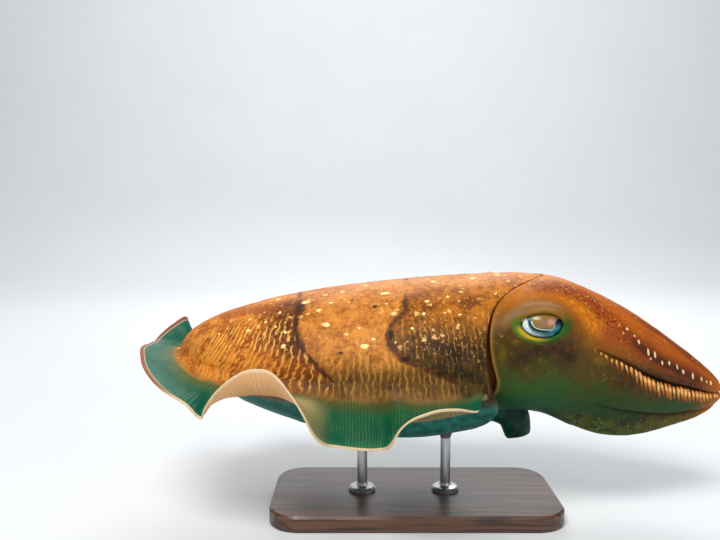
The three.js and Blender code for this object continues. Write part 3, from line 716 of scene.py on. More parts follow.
def head_marks(points):
    """Fields of the markings at points of the head and arms."""
    x, y, z = points.T
    middle, half = crown_section(x)
    power = crown_squareness(x) / 2
    sine, cosine = np.abs(y / crown_half_width(x)) ** power, signed_power((z - middle) / half, power)
    around = np.degrees(np.arctan2(sine, cosine))
    far, turn = lid_place(x, z)

    def from_line(line):
        """Distance from a line on the nearer side."""
        knots = smooth_line([head_place(px, a) for px, a in line], 32)
        return np.minimum(*(line_distance(points, knots * np.array([1, side, 1]))[0] for side in (1, -1)))

    return dict(
        around=around,
        past_rim=np.clip(x - rim_x(around), -20, 60),
        rim_gap=rim_gap(around),
        far=np.where(np.abs(y) > 25, np.minimum(far, 6), 6),
        ring=np.stack([np.cos(turn), np.sin(turn), 0 * turn], -1),
        dashes=mark_field(points, HEAD_DASHES, head_place),
        gold_spots=mark_field(points, GOLD_SPOTS, head_place),
        dash_band=from_line(DASH_ROW),
        band=from_line(RED_BAND),
        net=1 - from_line(BROW_NET) / 11.0,
        amber=1 - from_line(AMBER_PATCH) / 15.0,
        blot=1 - from_line(EYE_BLOT) / 14.0,
    )


ARM_COLUMNS = 24
GROOVE_START_X, GROOVE_FULL_X = 168, 200
TIP_LENGTH = 0.15  # from an arm's last ring to its pole
TIP_ROUNDING = 13.0  # the length at an arm's end that is rounded off
ARM_GAP = 0.32  # from an arm's edge to the middle of the gap beside it


def mirrored(values):
    """Values for the columns down the right side, then for those up the left side."""
    return np.concatenate([values, values[-2:0:-1]])


def build_head():
    """The head from the neck to the arms' roots: its grid and how near each point is to a groove."""
    x = np.append(np.linspace(HEAD_REAR_X, 96, 8), np.linspace(96, HEAD_FRONT_X, 104)[1:])[:, None]
    across = np.linspace(0, 1, ARM_COLUMNS + 1)[:-1]
    bounds = [bound(np.maximum(x, 190)) for bound in ARM_BOUNDS]
    right = np.concatenate([*(lerp(bounds[n - 1], bounds[n], across) for n in ARMS), 0 * x + 180], 1)
    angle = np.concatenate([right, 360 - right[:, -2:0:-1]], 1)
    share = mirrored(np.append(np.tile(across, len(ARMS)), 1.0))
    pressed = mirrored(np.append(np.repeat([PRESSED[n] for n in ARMS], ARM_COLUMNS), 0.0))
    grid = crown_point(x, angle, neck_share(x) * arm_share(share, x, pressed))
    # Brow, lids and folds, with the surface drawn in under the lids' own patch
    px, py, pz = np.moveaxis(grid, -1, 0)
    far, _ = lid_place(px, pz)
    near = (far < LID["reach"] * 1.6) & (np.abs(py) > 20)
    lift = face_side(px, pz) - head_side(px, pz) - 7.0 * smooth(LID["reach"] * 0.93, 1.2, far)
    grid[..., 1] += np.where(near, np.sign(py) * lift * smooth(HEAD_FRONT_X, 178.0, px), 0.0)
    normal = grid_normals(grid)
    # A groove between the mantle's rim and the head's own edge
    turn = np.minimum(angle, 360 - angle)
    past = x - rim_x(turn) - rim_gap(turn)
    wide = 1.0 + 1.6 * bump(turn, 27, 20)
    step = 0.7 * bump(past, 1.2 * wide, 1.3 * wide) - 2.4 * smooth(0.8 * wide, -2.0 * wide, past)
    grid = grid + normal * (step * smooth(HEAD_REAR_X, 86, x))[..., None]
    grid[1:-1] = head_relief(grid, normal)[1:-1]
    return grid, np.abs(2 * share - 1) * smooth(GROOVE_START_X, GROOVE_FULL_X, grid[..., 0])


def build_arm(number):
    """A right arm from the head's front to its tip, in rings: outer face, wall, oral face, wall.

    Also how near each point is to a groove, and for each column 0 outside, 1 on a wall, 2 inside.
    """
    end, pressed = ARM_ENDS[number - 1], PRESSED[number]
    t = np.append(np.linspace(0, 0.95, 120), 0.95 + 0.05 * np.sin(np.linspace(0, np.pi / 2, 12))[1:])[:, None]
    x = lerp(HEAD_FRONT_X, end - TIP_LENGTH, t)
    outer = np.linspace(0, 1, ARM_COLUMNS + 1)
    wall = np.linspace(0, 1, 7)[1:-1]
    oral = np.linspace(1, 0, 7)
    low, high = ARM_BOUNDS[number - 1](x), ARM_BOUNDS[number](x)
    opening = 0.12 * smooth(0, 0.02, t) + 0.88 * smooth(0.02, 0.32, t)
    gap = np.degrees(ARM_GAP / np.maximum(crown_radius(x), 2)) * opening
    low_gap, high_gap = gap * (0.3 if pressed < 0 else 1), gap * (0.3 if pressed > 0 else 1)
    low_edge, high_edge, oral_edge = arm_share(0.0, x, pressed), arm_share(1.0, x, pressed), oral_share(1.0)
    share = np.concatenate([outer, np.ones(len(wall)), oral, np.zeros(len(wall))])
    radius = np.concatenate([
        arm_share(outer, x, pressed), lerp(high_edge, oral_edge, wall),
        0 * x + oral_share(oral), lerp(oral_edge, low_edge, wall),
    ], 1)
    depth = np.maximum(radius, 0.2)
    grid = crown_point(x, lerp(low + low_gap / depth, high - high_gap / depth, share), radius)
    tag = np.repeat([0.0, 1.0, 2.0, 1.0], [len(outer), len(wall), len(oral), len(wall)])
    grid = lerp(grid, head_relief(grid, grid_normals(grid)), (smooth(0, 0.03, t) * (tag == 0))[..., None])
    # The tip is rounded off like a fingertip
    to_tip = np.clip((x - end + TIP_ROUNDING) / TIP_ROUNDING, 0, 1)
    tight = np.sqrt(np.clip(1 - to_tip**2.6, 0.0012, 1))
    centre = grid.mean(1, keepdims=True)
    grid[..., 1:] = lerp(centre, grid, tight[..., None])[..., 1:]
    return grid, np.abs(2 * share - 1) * smooth(GROOVE_START_X, GROOVE_FULL_X, x), tag


def finish_head():
    """The head and the eight arms in one mesh, closed at the neck, the tips and the mouth."""
    head, groove = build_head()
    # Each part closes to a pole, the head at its first row (0) and an arm at its last (1)
    parts = [(head, groove, np.zeros(head.shape[1]), np.array([[HEAD_REAR_X, 0.0, 4.0]]), 0)]
    arms = [build_arm(n) for n in ARMS]
    for flip in (1, -1):
        for grid, groove, tag in arms:
            grid = grid * np.array([1, flip, 1])
            parts.append((grid, groove, tag, grid[-1].mean(0, keepdims=True) + [[TIP_LENGTH, 0, 0]], 1))
    points, quads, triangles, grooves, inner = [], [], [], [], []
    mouth = sum(len(grid) * grid.shape[1] + 1 for grid, *_ in parts)
    start = 0
    for grid, groove, tag, pole, last in parts:
        rows, columns = grid.shape[:2]
        points += [grid.reshape(-1, 3), pole]
        quads.append(grid_faces(rows, columns, start=start))
        triangles.append(cap(start + rows * columns, start + last * (rows - 1) * columns, columns))
        grooves.append(np.append(groove, last))
        inner.append(np.append(np.broadcast_to(tag, (rows, columns)), 0))
        # The mouth's disc closes the space between the arms
        ring = start + np.flatnonzero(tag == 2.0)
        triangles.append(np.stack([0 * ring[1:] + mouth, ring[:-1], ring[1:]], -1))
        start += rows * columns + 1
    points = np.concatenate([*points, [[HEAD_FRONT_X - 1.5, 0, -5.0]]])
    fields = dict(groove=np.append(np.concatenate(grooves), 0), inner=np.append(np.concatenate(inner), 2))
    fields.update(head_marks(points))
    return make_mesh("skin_head", points, np.concatenate(quads), np.concatenate(triangles), fields, weld=1e-3)


skin_head = finish_head()


# The lids' roll: how far out, and how deep from the crest down to the eyeball
LID_ROLL = [(1.0, 1.0), (0.985, 0.72), (0.98, 0.45), (0.99, 0.22), (1.02, 0.07), (1.06, 0.0)]


def build_lids(side):
    """The lids' own patch: it rises from the eyeball, rolls over and runs out into the head."""
    turns = np.linspace(0, 2 * np.pi, 145)[:-1]
    crest = face_side(*round_eye(LID_ROLL[-1][0], turns))
    rings = []
    for far, sunk in LID_ROLL:
        x, z = round_eye(far, turns)
        rings.append(np.stack([x, lerp(crest, eye_side(x, z) - 0.8, sunk), z], -1))
    for far in np.append(np.linspace(1.09, 1.5, 16), np.linspace(1.53, LID["reach"], 12)):
        x, z = round_eye(far, turns)
        y = face_side(x, z) - 0.25 * smooth(LID["reach"] - 0.1, LID["reach"], far)
        rings.append(np.stack([x, y, z], -1))
    points = np.concatenate(rings) * np.array([1, SIDES[side], 1])
    plain = np.zeros(len(points))
    fields = dict(groove=plain, inner=plain, **head_marks(points))
    return make_mesh(f"lids_{side}", points, grid_faces(len(rings), len(turns)), fields=fields)


lids = [build_lids(side) for side in SIDES]


# Funnel
FUNNEL_PATH = [(102, -36), (123, -43), (135.5, -54), (140, -71)]
FUNNEL_RADIUS = through([[0, 19], [0.4, 17], [0.75, 13.5], [1, 11.5]])
# The lip and the inside: place along the path, and how much narrower than its end
FUNNEL_LIP = [
    (0.955, -0.05), (0.975, 0.1), (0.99, 0.5), (0.998, 1.1), (1.0, 1.9), (0.992, 2.8), (0.97, 3.3),
    (0.93, 3.7), (0.86, 4.0), (0.78, 4.3),
]


def build_funnel():
    """A bent tube with a rolled lip, rooted in the neck."""
    path = smooth_line(FUNNEL_PATH, 61)
    length = np.append(0, np.cumsum(np.linalg.norm(np.diff(path, axis=0), axis=1)))
    heading = np.gradient(path, axis=0)
    heading /= np.linalg.norm(heading, axis=1, keepdims=True)
    outside = np.linspace(0, 0.93, 44)
    lip, narrower = np.array(FUNNEL_LIP).T
    at = np.append(outside, lip)
    size = np.append(FUNNEL_RADIUS(outside), FUNNEL_RADIUS(1.0) - narrower)[:, None]
    cx, cz, tx, tz = (np.interp(at, length / length[-1], v)[:, None] for v in (*path.T, *heading.T))
    turns = np.linspace(0, 2 * np.pi, 73)[:-1]
    up = size * np.sin(turns)
    grid = np.stack([cx - tz * up, size * np.cos(turns), cz + tx * up], -1)
    folds = 0.35 * lattice_noise(grid * np.array([1, 1, 0.35]), 5.0, 21) + 0.3 * lattice_noise(grid, 11.0, 22)
    grid = grid + grid_normals(grid) * (folds * smooth(0.2, 0.5, at)[:, None])[..., None]
    poles = np.stack([cx, 0 * cx, cz], -1)[[0, -1], 0]
    rows, columns = grid.shape[:2]
    inside = np.append(np.repeat(np.arange(rows) >= len(outside) + 5, columns), [False, True])
    points = np.concatenate([grid.reshape(-1, 3), poles])
    return make_mesh("skin_funnel", points, *capped_grid(rows, columns), dict(inside=inside))


skin_funnel = build_funnel()


# Bars of the third arms
BAR_COUNT = 29
BARS_X = (196.0, 311.0)
BAR_LENGTH = 12.5
BAR_HALF_WIDTH = 1.45
BAR_HALF_HEIGHT = 1.1
BAR_SIZE = through([[0, 0.3], [0.15, 0.62], [0.35, 1.05], [0.7, 1.05], [0.9, 0.8], [1, 0.55]])


def build_bars(side):
    """A row of fleshy bars along the top of the third arm, uneven in length, lean and width."""
    draw = np.random.default_rng(7)
    points, quads, triangles, down = [], [], [], []
    rings, around = 13, 10
    t = 0.5 - 0.5 * np.cos(np.linspace(0, np.pi, rings))
    girth = (np.sqrt(np.clip(1 - (2 * t - 1) ** 6, 0.01, 1)) * (1 - 0.25 * t))[:, None, None]
    turns = np.linspace(0, 2 * np.pi, around + 1)[:-1, None]
    for i in range(BAR_COUNT):
        share = i / (BAR_COUNT - 1)
        uneven = draw.uniform(-1, 1, 6)
        x = lerp(*BARS_X, share**0.94) + 0.5 * uneven[0]
        size = BAR_SIZE(share)
        length = BAR_LENGTH * size * (1 + 0.16 * uneven[1])
        width = BAR_HALF_WIDTH * size**0.4 * (1 + 0.14 * uneven[2])
        height = BAR_HALF_HEIGHT * size**0.5 * (1 + 0.2 * uneven[3])
        low, high = ARM_BOUNDS[2](x), ARM_BOUNDS[3](x)
        turn = low + 1.0 + 0.9 * uneven[4] + t * np.degrees(length / crown_radius(x))
        across = np.clip((turn - low) / (high - low), 0, 1)
        lean = (3.0 + 0.9 * uneven[5]) * size * t**1.4 + 0.35 * np.sin(t * 5 + 3 * uneven[5])
        spine = crown_point(x + lean, turn, arm_share(across, x))
        along = np.gradient(spine, axis=0)
        along /= np.linalg.norm(along, axis=1, keepdims=True)
        out = spine * np.array([0, 1, 1]) + np.array([0, 0, 15])
        out -= along * np.sum(out * along, 1, keepdims=True)
        out /= np.linalg.norm(out, axis=1, keepdims=True)
        beside = np.cross(along, out)
        middle = spine - out * (0.1 + 0.75 * t**2)[:, None]
        thick = out[:, None] * height * np.cos(turns) + beside[:, None] * width * np.sin(turns)
        points += [(middle[:, None] + thick * girth).reshape(-1, 3), middle[[0, -1]]]
        down += [np.repeat(t, around), [0, 1]]
        faces, caps = capped_grid(rings, around, i * (rings * around + 2))
        quads.append(faces)
        triangles.append(caps)
    points, quads, triangles, down = (np.concatenate(v) for v in (points, quads, triangles, down))
    points = points * np.array([1, -SIDES[side], 1])
    return make_mesh(f"bars_{side}", points, quads, triangles, dict(down=down))


bars = [build_bars(side) for side in SIDES]


# Suckers
# Radius and height of the rings of one cup, in cup radii, from its sunken root to its hollow
CUP = np.array([(0.75, -0.6), (0.8, 0.35), (1.0, 0.75), (0.95, 1.0), (0.68, 1.0), (0.5, 0.6), (0.2, 0.4)])
CUPS_IN_ROW = 26
CUP_ROWS = (0.2, 0.4, 0.6, 0.8)
CUP_RADIUS = 1.45
CUPS_X = (203.0, 307.0)


def build_suckers():
    """Four rows of cups along the inner face of each arm, smaller towards its tip."""
    turns = np.linspace(0, 2 * np.pi, 9)[:-1, None]
    rings, columns = len(CUP), len(turns)
    points = []
    for number in ARMS:
        for row, place in enumerate(CUP_ROWS):
            share = (np.arange(CUPS_IN_ROW) + 0.5 * (row % 2)) / CUPS_IN_ROW
            x = lerp(*CUPS_X, share**0.88)
            turn = lerp(ARM_BOUNDS[number - 1](x), ARM_BOUNDS[number](x), place)
            root = crown_point(x, turn, oral_share(place))
            inward = crown_point(x, turn, 0.0) - root
            inward /= np.linalg.norm(inward, axis=1, keepdims=True)
            beside = np.cross(inward, [1.0, 0.0, 0.0])
            size = CUP_RADIUS * (crown_half_width(x) / crown_half_width(CUPS_X[0])) ** 0.9
            ring = np.cos(turns) * np.array([1.0, 0, 0]) + np.sin(turns) * beside[:, None]
            wide = CUP[:, 0, None, None] * ring[:, None]
            tall = CUP[:, 1, None, None] * inward[:, None, None]
            cups = root[:, None, None] + size[:, None, None, None] * (wide + tall)
            points += [cups, cups * np.array([1, -1, 1])]
    points = np.concatenate(points)
    first = np.arange(len(points)) * rings * columns
    quads = [grid_faces(rings, columns, start=i) for i in first]
    c = np.arange(1, columns - 1)
    fan = np.stack([0 * c, c, c + 1], -1)
    ends = np.append(first, first + (rings - 1) * columns)[:, None, None]
    down = np.tile(np.repeat(np.linspace(0, 1, rings), columns), len(points))
    return make_mesh("suckers", points.reshape(-1, 3), np.concatenate(quads), ends + fan, dict(down=down))


suckers = build_suckers()


# Eyes
# Lines on the eye in its side view, in millimetres from the middle of the lids' opening
PUPIL = [(-10.7, 3.6), (-10.0, 0.6), (-8.3, -1.7), (-5.5, -3.5), (-2.6, -4.4), (1.3, -4.8), (4.4, -4.7)]
CRESCENT = [(-14.3, 4.4), (-13.4, 0.0), (-11.7, -3.4), (-7.7, -6.7), (-2.1, -8.3), (3.0, -8.8), (8.1, -7.8)]
INNER_LINE = [
    (-9.2, 3.4), (-8.3, 0.6), (-6.0, -1.7), (-2.1, -2.7), (2.5, -3.1), (6.4, -3.4), (8.4, -1.7), (9.3, 0.8),
]
# The lower edge of the hood, which lies above the inner line
HOOD_EDGE = through([
    [-9.4, 3.4], [-8.3, 0.6], [-6.0, -1.7], [-2.1, -2.7], [2.5, -3.1], [6.4, -3.2], [8.4, -1.7], [9.6, 1.6],
    [12, 4.5],
])
HOOD_HEIGHT = 0.9
PUPIL_DEPTH = 0.55


def build_eye(side):
    """An eyeball, with its pupil sunk and its hood, inner line and crescent raised a little."""
    rings = np.append(np.linspace(0, 100, 110)[1:], np.linspace(100, 180, 22)[1:-1])
    turns = np.linspace(0, 2 * np.pi, 181)[:-1]
    phi = np.radians(rings)[:, None]
    u, v, w = np.sin(phi) * np.cos(turns), np.sin(phi) * np.sin(turns), np.cos(phi) + 0 * turns
    x, z = (EYE["rx"] * u).reshape(-1), (EYE["rz"] * v).reshape(-1)
    places = np.stack([x, z], -1)
    front = (w.reshape(-1) > 0).astype(float)
    (slit, slit_run), (crescent, crescent_run), (rim, _) = (
        line_distance(places, smooth_line(line)) for line in (PUPIL, CRESCENT, INNER_LINE)
    )
    slit_width = 0.5 + 0.45 * np.sin(np.pi * slit_run) + 0.15 * slit_run
    hood = (z - HOOD_EDGE(x)) * smooth(-10.2, -8.6, x)
    hood_end = smooth(-10.4, -8.2, x + 0.25 * np.maximum(z - 3, 0))
    lift = HOOD_HEIGHT * smooth(-0.1, 1.4, hood) * hood_end
    lift -= PUPIL_DEPTH * np.exp(-((slit / (slit_width * 1.05)) ** 4))
    lift += 0.18 * bump(rim, 0, 0.42) + 0.12 * bump(crescent, 0, 1.4)
    lift *= front * smooth(1.0, 0.9, np.hypot(u, v).reshape(-1))
    grow = 1 + (lift.reshape(u.shape) - HOOD_HEIGHT) / EYE["ry"] * np.clip(w, 0, 1)
    points = np.stack([EYE["rx"] * u, EYE["ry"] * w * grow, EYE["rz"] * v], -1).reshape(-1, 3)
    poles = [[0, EYE["ry"] + lift[0] - HOOD_HEIGHT, 0], [0, -EYE["ry"], 0]]
    points = np.concatenate([points, poles]) + [EYE["x"], EYE["y"], EYE["z"]]
    points = points * np.array([1, SIDES[side], 1])
    fields = dict(
        slit=slit - slit_width,
        crescent=crescent - 1.0 - 0.9 * bump(crescent_run, 0.05, 0.22) - 0.15 * crescent_run,
        crescent_run=crescent_run,
        rim=rim - 0.32,
        hood=np.where(hood_end > 0.5, hood, -1.0),
        eye_place=np.stack([x, z, front], -1),
    )
    fields = {key: np.concatenate([values, values[:1], values[-1:]]) for key, values in fields.items()}
    return make_mesh(f"eyeball_{side}", points, *capped_grid(len(rings), len(turns)), fields)


eyes = [build_eye(side) for side in SIDES]


# Materials
TAU = 2 * math.pi
TONE_POWERS = (1.17, 1.15, 1.34)


def srgb(r, g, b):
    """A colour as a screen shows it, 0 to 255, in linear light."""
    light = [((c / 255 + 0.055) / 1.055) ** 2.4 if c > 10 else c / 255 / 12.92 for c in (r, g, b)]
    return (*light, 1.0)


def tone(r, g, b):
    """A skin colour, deepened to make up for the pale sheen that soft light lays over it."""
    return (*(c**power for c, power in zip(srgb(r, g, b), TONE_POWERS)), 1.0)


class Field:
    """A number or colour that varies over a surface, worked out by shader nodes."""

    def __init__(self, nodes, socket):
        self.nodes = nodes
        self.socket = socket

    def __add__(self, other):
        return self.nodes.math("ADD", self, other)

    def __sub__(self, other):
        return self.nodes.math("SUBTRACT", self, other)

    def __rsub__(self, other):
        return self.nodes.math("SUBTRACT", other, self)

    def __mul__(self, other):
        return self.nodes.math("MULTIPLY", self, other)

    __radd__ = __add__
    __rmul__ = __mul__

    def max(self, other):
        return self.nodes.math("MAXIMUM", self, other)

    def min(self, other):
        return self.nodes.math("MINIMUM", self, other)

    def sine(self):
        return self.nodes.math("SINE", self)

    def ragged(self, noise, amount):
        """Shifted to and fro by a noise, so that what starts at a value has an uneven edge."""
        return self + (noise - 0.5) * amount

    def step(self, low, high):
        """Smoothly from 0 at low to 1 at high, whichever is larger."""
        node = self.nodes.make("ShaderNodeMapRange", interpolation_type="SMOOTHSTEP")
        self.nodes.put(node.inputs["Value"], self)
        node.inputs["From Min"].default_value = min(low, high)
        node.inputs["From Max"].default_value = max(low, high)
        node.inputs["To Min"].default_value = float(low > high)
        node.inputs["To Max"].default_value = float(low <= high)
        return Field(self.nodes, node.outputs[0])


class Nodes:
    """One material's shader nodes, under short names."""

    def __init__(self, name):
        self.material = bpy.data.materials.new(name)
        self.material.use_nodes = True
        self.tree = self.material.node_tree
        self.tree.nodes.clear()
        self.shader = self.make("ShaderNodeBsdfPrincipled")
        self.tree.links.new(self.shader.outputs[0], self.make("ShaderNodeOutputMaterial").inputs[0])
        self.place = Field(self, self.make("ShaderNodeTexCoord").outputs["Object"])

    def make(self, kind, **settings):
        node = self.tree.nodes.new(kind)
        for key, value in settings.items():
            setattr(node, key, value)
        return node

    def put(self, socket, value):
        if isinstance(value, Field):
            self.tree.links.new(value.socket, socket)
        else:
            socket.default_value = value

    def field(self, name, output="Fac"):
        """One of the fields that make_mesh put on the mesh."""
        return Field(self, self.make("ShaderNodeAttribute", attribute_name=name).outputs[output])

    def fields(self, names):
        return [self.field(name) for name in names.split()]

    def math(self, operation, *values):
        node = self.make("ShaderNodeMath", operation=operation)
        for socket, value in zip(node.inputs, values):
            self.put(socket, value)
        return Field(self, node.outputs[0])

    def mix(self, share, first, second):
        node = self.make("ShaderNodeMix", data_type="RGBA")
        for index, value in ((0, share), (6, first), (7, second)):
            self.put(node.inputs[index], value)
        return Field(self, node.outputs[2])

    def vary(self, value, low, high, first, second):
        """From one skin colour to another as a value goes from low to high."""
        return self.mix(value.step(low, high), tone(*first), tone(*second))

    def layer(self, base, *coats):
        """Coats of (share, colour) laid one over the other."""
        for share, colour in coats:
            base = self.mix(share, base, colour)
        return base

    def ramp(self, value, low, high, stops):
        """Skin colour by value between low and high; stops are (value, (r, g, b))."""
        node = self.make("ShaderNodeValToRGB")
        node.color_ramp.interpolation = "EASE"
        elements = node.color_ramp.elements
        while len(elements) < len(stops):
            elements.new(0.5)
        for element, (at, colour) in zip(elements, stops):
            element.position = (at - low) / (high - low)
            element.color = tone(*colour)
        self.put(node.inputs[0], (value - low) * (1 / (high - low)))
        return Field(self, node.outputs[0])

    def noise(self, scale, detail=2.0, rough=0.5, vector=None):
        """Noise about 0.5; scale is in cells per metre."""
        node = self.make("ShaderNodeTexNoise")
        self.put(node.inputs["Vector"], vector or self.place)
        node.inputs["Scale"].default_value = scale
        node.inputs["Detail"].default_value = detail
        node.inputs["Roughness"].default_value = rough
        return Field(self, node.outputs["Fac"])

    def cells(self, scale, output="Distance", vector=None):
        """Distance from the nearest of scattered points, or each point's own colour."""
        node = self.make("ShaderNodeTexVoronoi")
        self.put(node.inputs["Vector"], vector or self.place)
        node.inputs["Scale"].default_value = scale
        return Field(self, node.outputs[output])

    def spots(self, scale, share, size, vector=None):
        """Scattered round spots of mixed size; share of the cells that hold one, size in cells."""
        distance = self.cells(scale, vector=vector)
        pick = self.split(self.cells(scale, "Color", vector=vector))[0]
        radius = pick.step(1 - share, 1.25) * size
        return (distance - radius).step(0.05, -0.09) * pick.step(1 - share, 1 - share + 0.02)

    def warped(self, scale, amount):
        """Places shifted by noise, for ragged spots."""
        noise = self.make("ShaderNodeTexNoise")
        self.put(noise.inputs["Vector"], self.place)
        noise.inputs["Scale"].default_value = scale
        node = self.make("ShaderNodeVectorMath", operation="MULTIPLY_ADD")
        self.tree.links.new(noise.outputs["Color"], node.inputs[0])
        node.inputs[1].default_value = (amount, amount, amount)
        self.put(node.inputs[2], self.place)
        return Field(self, node.outputs[0])

    def split(self, vector):
        node = self.make("ShaderNodeSeparateXYZ")
        self.put(node.inputs[0], vector)
        return [Field(self, socket) for socket in node.outputs]

    def stretch(self, x, y, z):
        """Places scaled along each axis, for drawn-out patterns."""
        node = self.make("ShaderNodeVectorMath", operation="MULTIPLY")
        self.put(node.inputs[0], self.place)
        node.inputs[1].default_value = (x, y, z)
        return Field(self, node.outputs[0])

    def finish(self, colour, roughness, *bumps, **settings):
        """Colour, roughness and layers of (height, strength, distance in metres) on the shader."""
        self.put(self.shader.inputs["Base Color"], colour)
        self.put(self.shader.inputs["Roughness"], roughness)
        normal = None
        for height, strength, distance in bumps:
            node = self.make("ShaderNodeBump")
            node.inputs["Strength"].default_value = strength
            node.inputs["Distance"].default_value = distance
            self.put(node.inputs["Height"], height)
            if normal:
                self.put(node.inputs["Normal"], normal)
            normal = Field(self, node.outputs[0])
        if normal:
            self.put(self.shader.inputs["Normal"], normal)
        for key, value in settings.items():
            self.shader.inputs[key.replace("_", " ")].default_value = value
        return self.material


WET_SKIN = dict(IOR=1.34, Specular_IOR_Level=0.35)


def mantle_skin():
    """Orange-brown behind, darker in front, with wavy pale lines, specks, dashes and green fins."""
    n = Nodes("mantle_skin")
    around, share, face, along, hollow = n.fields("around share face along hollow")
    behind, ahead, zone, phase, tan_side = n.fields("behind ahead zone phase tan_side")
    dash_field, dark_field, spot_field = n.fields("dashes dark spots")
    x = n.split(n.place)[0]
    blotch, patch, grain = n.noise(30, 4, 0.62), n.noise(105, 4, 0.62), n.noise(420, 3, 0.6)
    fine = n.noise(260, 3, 0.65)
    mottle = blotch * 0.4 + patch * 0.3 + fine * 0.3

    def mottled(dark, pale):
        return n.vary(mottle, 0.42, 0.58, dark, pale)

    # Ground colours of the rear, the saddle and the front
    rear = mottled((168, 88, 30), (238, 154, 74))
    saddle = mottled((172, 104, 48), (224, 150, 80))
    front = mottled((128, 74, 20), (198, 124, 42))
    low_front = mottled((46, 30, 6), (92, 64, 22))
    front = n.mix(around.ragged(patch, 40).step(44, 72), front, low_front)
    ground = n.layer(
        saddle,
        (around.step(60, 80) * 0.8, mottled((144, 92, 42), (202, 140, 78))),
        (behind, rear),
        (ahead, front),
        (around.step(42, 8) * 0.65, n.vary(mottle, 0.4, 0.6, (198, 114, 50), (236, 164, 92))),
        ((zone * 1.5).min(1.0) * (0.5 + 0.7 * patch), n.vary(fine, 0.4, 0.6, (88, 42, 12), (128, 70, 28))),
    )
    # Dark band above the root of the fin
    band = around.ragged(blotch, 26).step(72, 84) * share.step(0.26, 0.08)
    band = band * (x.step(-0.135, -0.085) * x.step(0.062, 0.03)) * face.step(-0.5, 0.0)
    ground = n.mix(band * 0.8, ground, n.vary(patch, 0.35, 0.65, (40, 32, 10), (84, 66, 26)))
    # Wavy pale lines, broad behind and low down, thin and broken in front
    sway = (n.noise(150, 2, 0.55) - 0.5) * 8.0 + (n.noise(40, 1, 0.5) - 0.5) * 7.0
    wave = (phase * TAU + sway).sine()
    broken = n.noise(120, 2, 0.6).step(0.38, 0.5)
    reach = share.step(0.24, 0.08)
    broad = wave.step(0.5, 0.95) * broken * reach
    thin = wave.step(0.72, 1.0) * n.noise(190, 2, 0.5).step(0.44, 0.6) * reach
    broad_here = (behind * around.step(24, 50)).max(around.ragged(blotch, 30).step(62, 76) * (1 - ahead))
    thin_here = (around.step(38, 52) * ahead).max(around.step(44, 56) * (1 - behind) * 0.5)
    above = around.step(101, 95).max(share.step(0.01, 0.03) * face.step(-0.2, 0.2))
    gold = n.vary(around, 50, 85, (255, 204, 120), (214, 158, 88))
    lines = (broad * broad_here).max(thin * thin_here * 0.5) * above
    shade = wave.step(0.1, -0.8) * broken * broad_here * above * reach
    faint = 1 - 0.5 * around.step(66, 76) * (1 - behind)
    skin = n.layer(ground, (shade * 0.3, tone(88, 46, 14)), (lines * faint * 0.82, gold))
    # Small pale spots, thickest along the back and in front
    speck_here = around.step(66, 30).max(ahead * around.step(82, 55))
    warped = n.warped(220, 0.007)
    specks = n.spots(150, 0.6, 0.42, warped) * speck_here
    fine_specks = n.spots(300, 0.6, 0.44, warped) * around.step(86, 50)
    edge = (patch - 0.5) * 0.9 + (fine - 0.5) * 0.9
    dashes = (dash_field + edge * 0.8).step(-0.02, 0.32)
    dark = (dark_field + edge * 3.2).step(-0.5, 0.8)
    blots = (spot_field + edge * 1.3).step(-0.1, 0.45)
    skin = n.layer(
        skin,
        (specks * 0.8, tone(250, 204, 140)),
        (fine_specks * 0.6, tone(246, 194, 124)),
        (dark * 0.9, n.vary(grain, 0.3, 0.7, (46, 20, 4), (94, 46, 16))),
        (blots * 0.92, tone(52, 22, 8)),
        (dashes * 0.92, n.vary(dashes, 0.5, 1.0, (248, 204, 140), (255, 232, 176))),
    )
    # Belly, in a teal that is painted shade and a painted reflection of water over a paler belly, then the
    # fins above and below, then the hollow round the neck
    belly = n.vary(patch, 0.35, 0.65, (16, 88, 96), (52, 124, 124))
    skin = n.mix(around.ragged(blotch, 14).step(95, 112), skin, belly)
    ribs = (phase * (TAU * 2.2) + sway * 0.8).sine().step(-0.4, 0.9) * n.noise(60, 2).step(0.35, 0.65)
    upper = n.ramp(share.ragged(blotch, 0.24), 0, 1, [
        (0.08, (76, 62, 28)), (0.24, (76, 88, 54)), (0.44, (12, 98, 78)), (0.8, (2, 98, 84)),
        (1.0, (40, 126, 104)),
    ])
    tail_upper = n.ramp(share.ragged(blotch, 0.2), 0, 1, [
        (0.05, (188, 130, 66)), (0.3, (92, 112, 84)), (0.55, (28, 106, 98)), (0.9, (34, 116, 112)),
    ])
    upper = n.mix(along.step(0.62, 0.74), upper, tail_upper)
    upper = n.mix(tan_side * share.step(0.1, 0.5) * 0.8, upper, tone(204, 178, 138))
    upper = n.mix(ribs * (0.1 + along.step(0.6, 0.8) * 0.08), upper, tone(196, 190, 140))
    under = n.vary(share, 0.2, 0.95, (196, 138, 96), (228, 180, 142))
    under = n.mix(along.step(0.3, 0.17), under, tone(126, 112, 88))
    under = n.mix(ribs * 0.3, under, tone(244, 204, 168))
    fins = n.mix(face.step(-0.2, 0.2), under, upper)
    rim = n.vary(along, 0.7, 0.8, (232, 206, 178), (168, 100, 78))
    pink_line = share.step(0.909, 0.925) * share.step(0.945, 0.933) * along.step(0.72, 0.8)
    fins = n.layer(
        fins,
        (pink_line, tone(232, 176, 158)),
        (share.ragged(patch, 0.02).step(0.955, 0.972), rim),
    )
    below_fin = face.step(-0.2, -0.5) * share.step(0.01, 0.05)
    skin = n.mix(share.ragged(patch, 0.12).step(0.1, 0.24).max(below_fin), skin, fins)
    # Dark brown in the hollow inside the mantle's opening is painted shade
    skin = n.mix(hollow.step(0.02, 0.25), skin, tone(92, 50, 22))
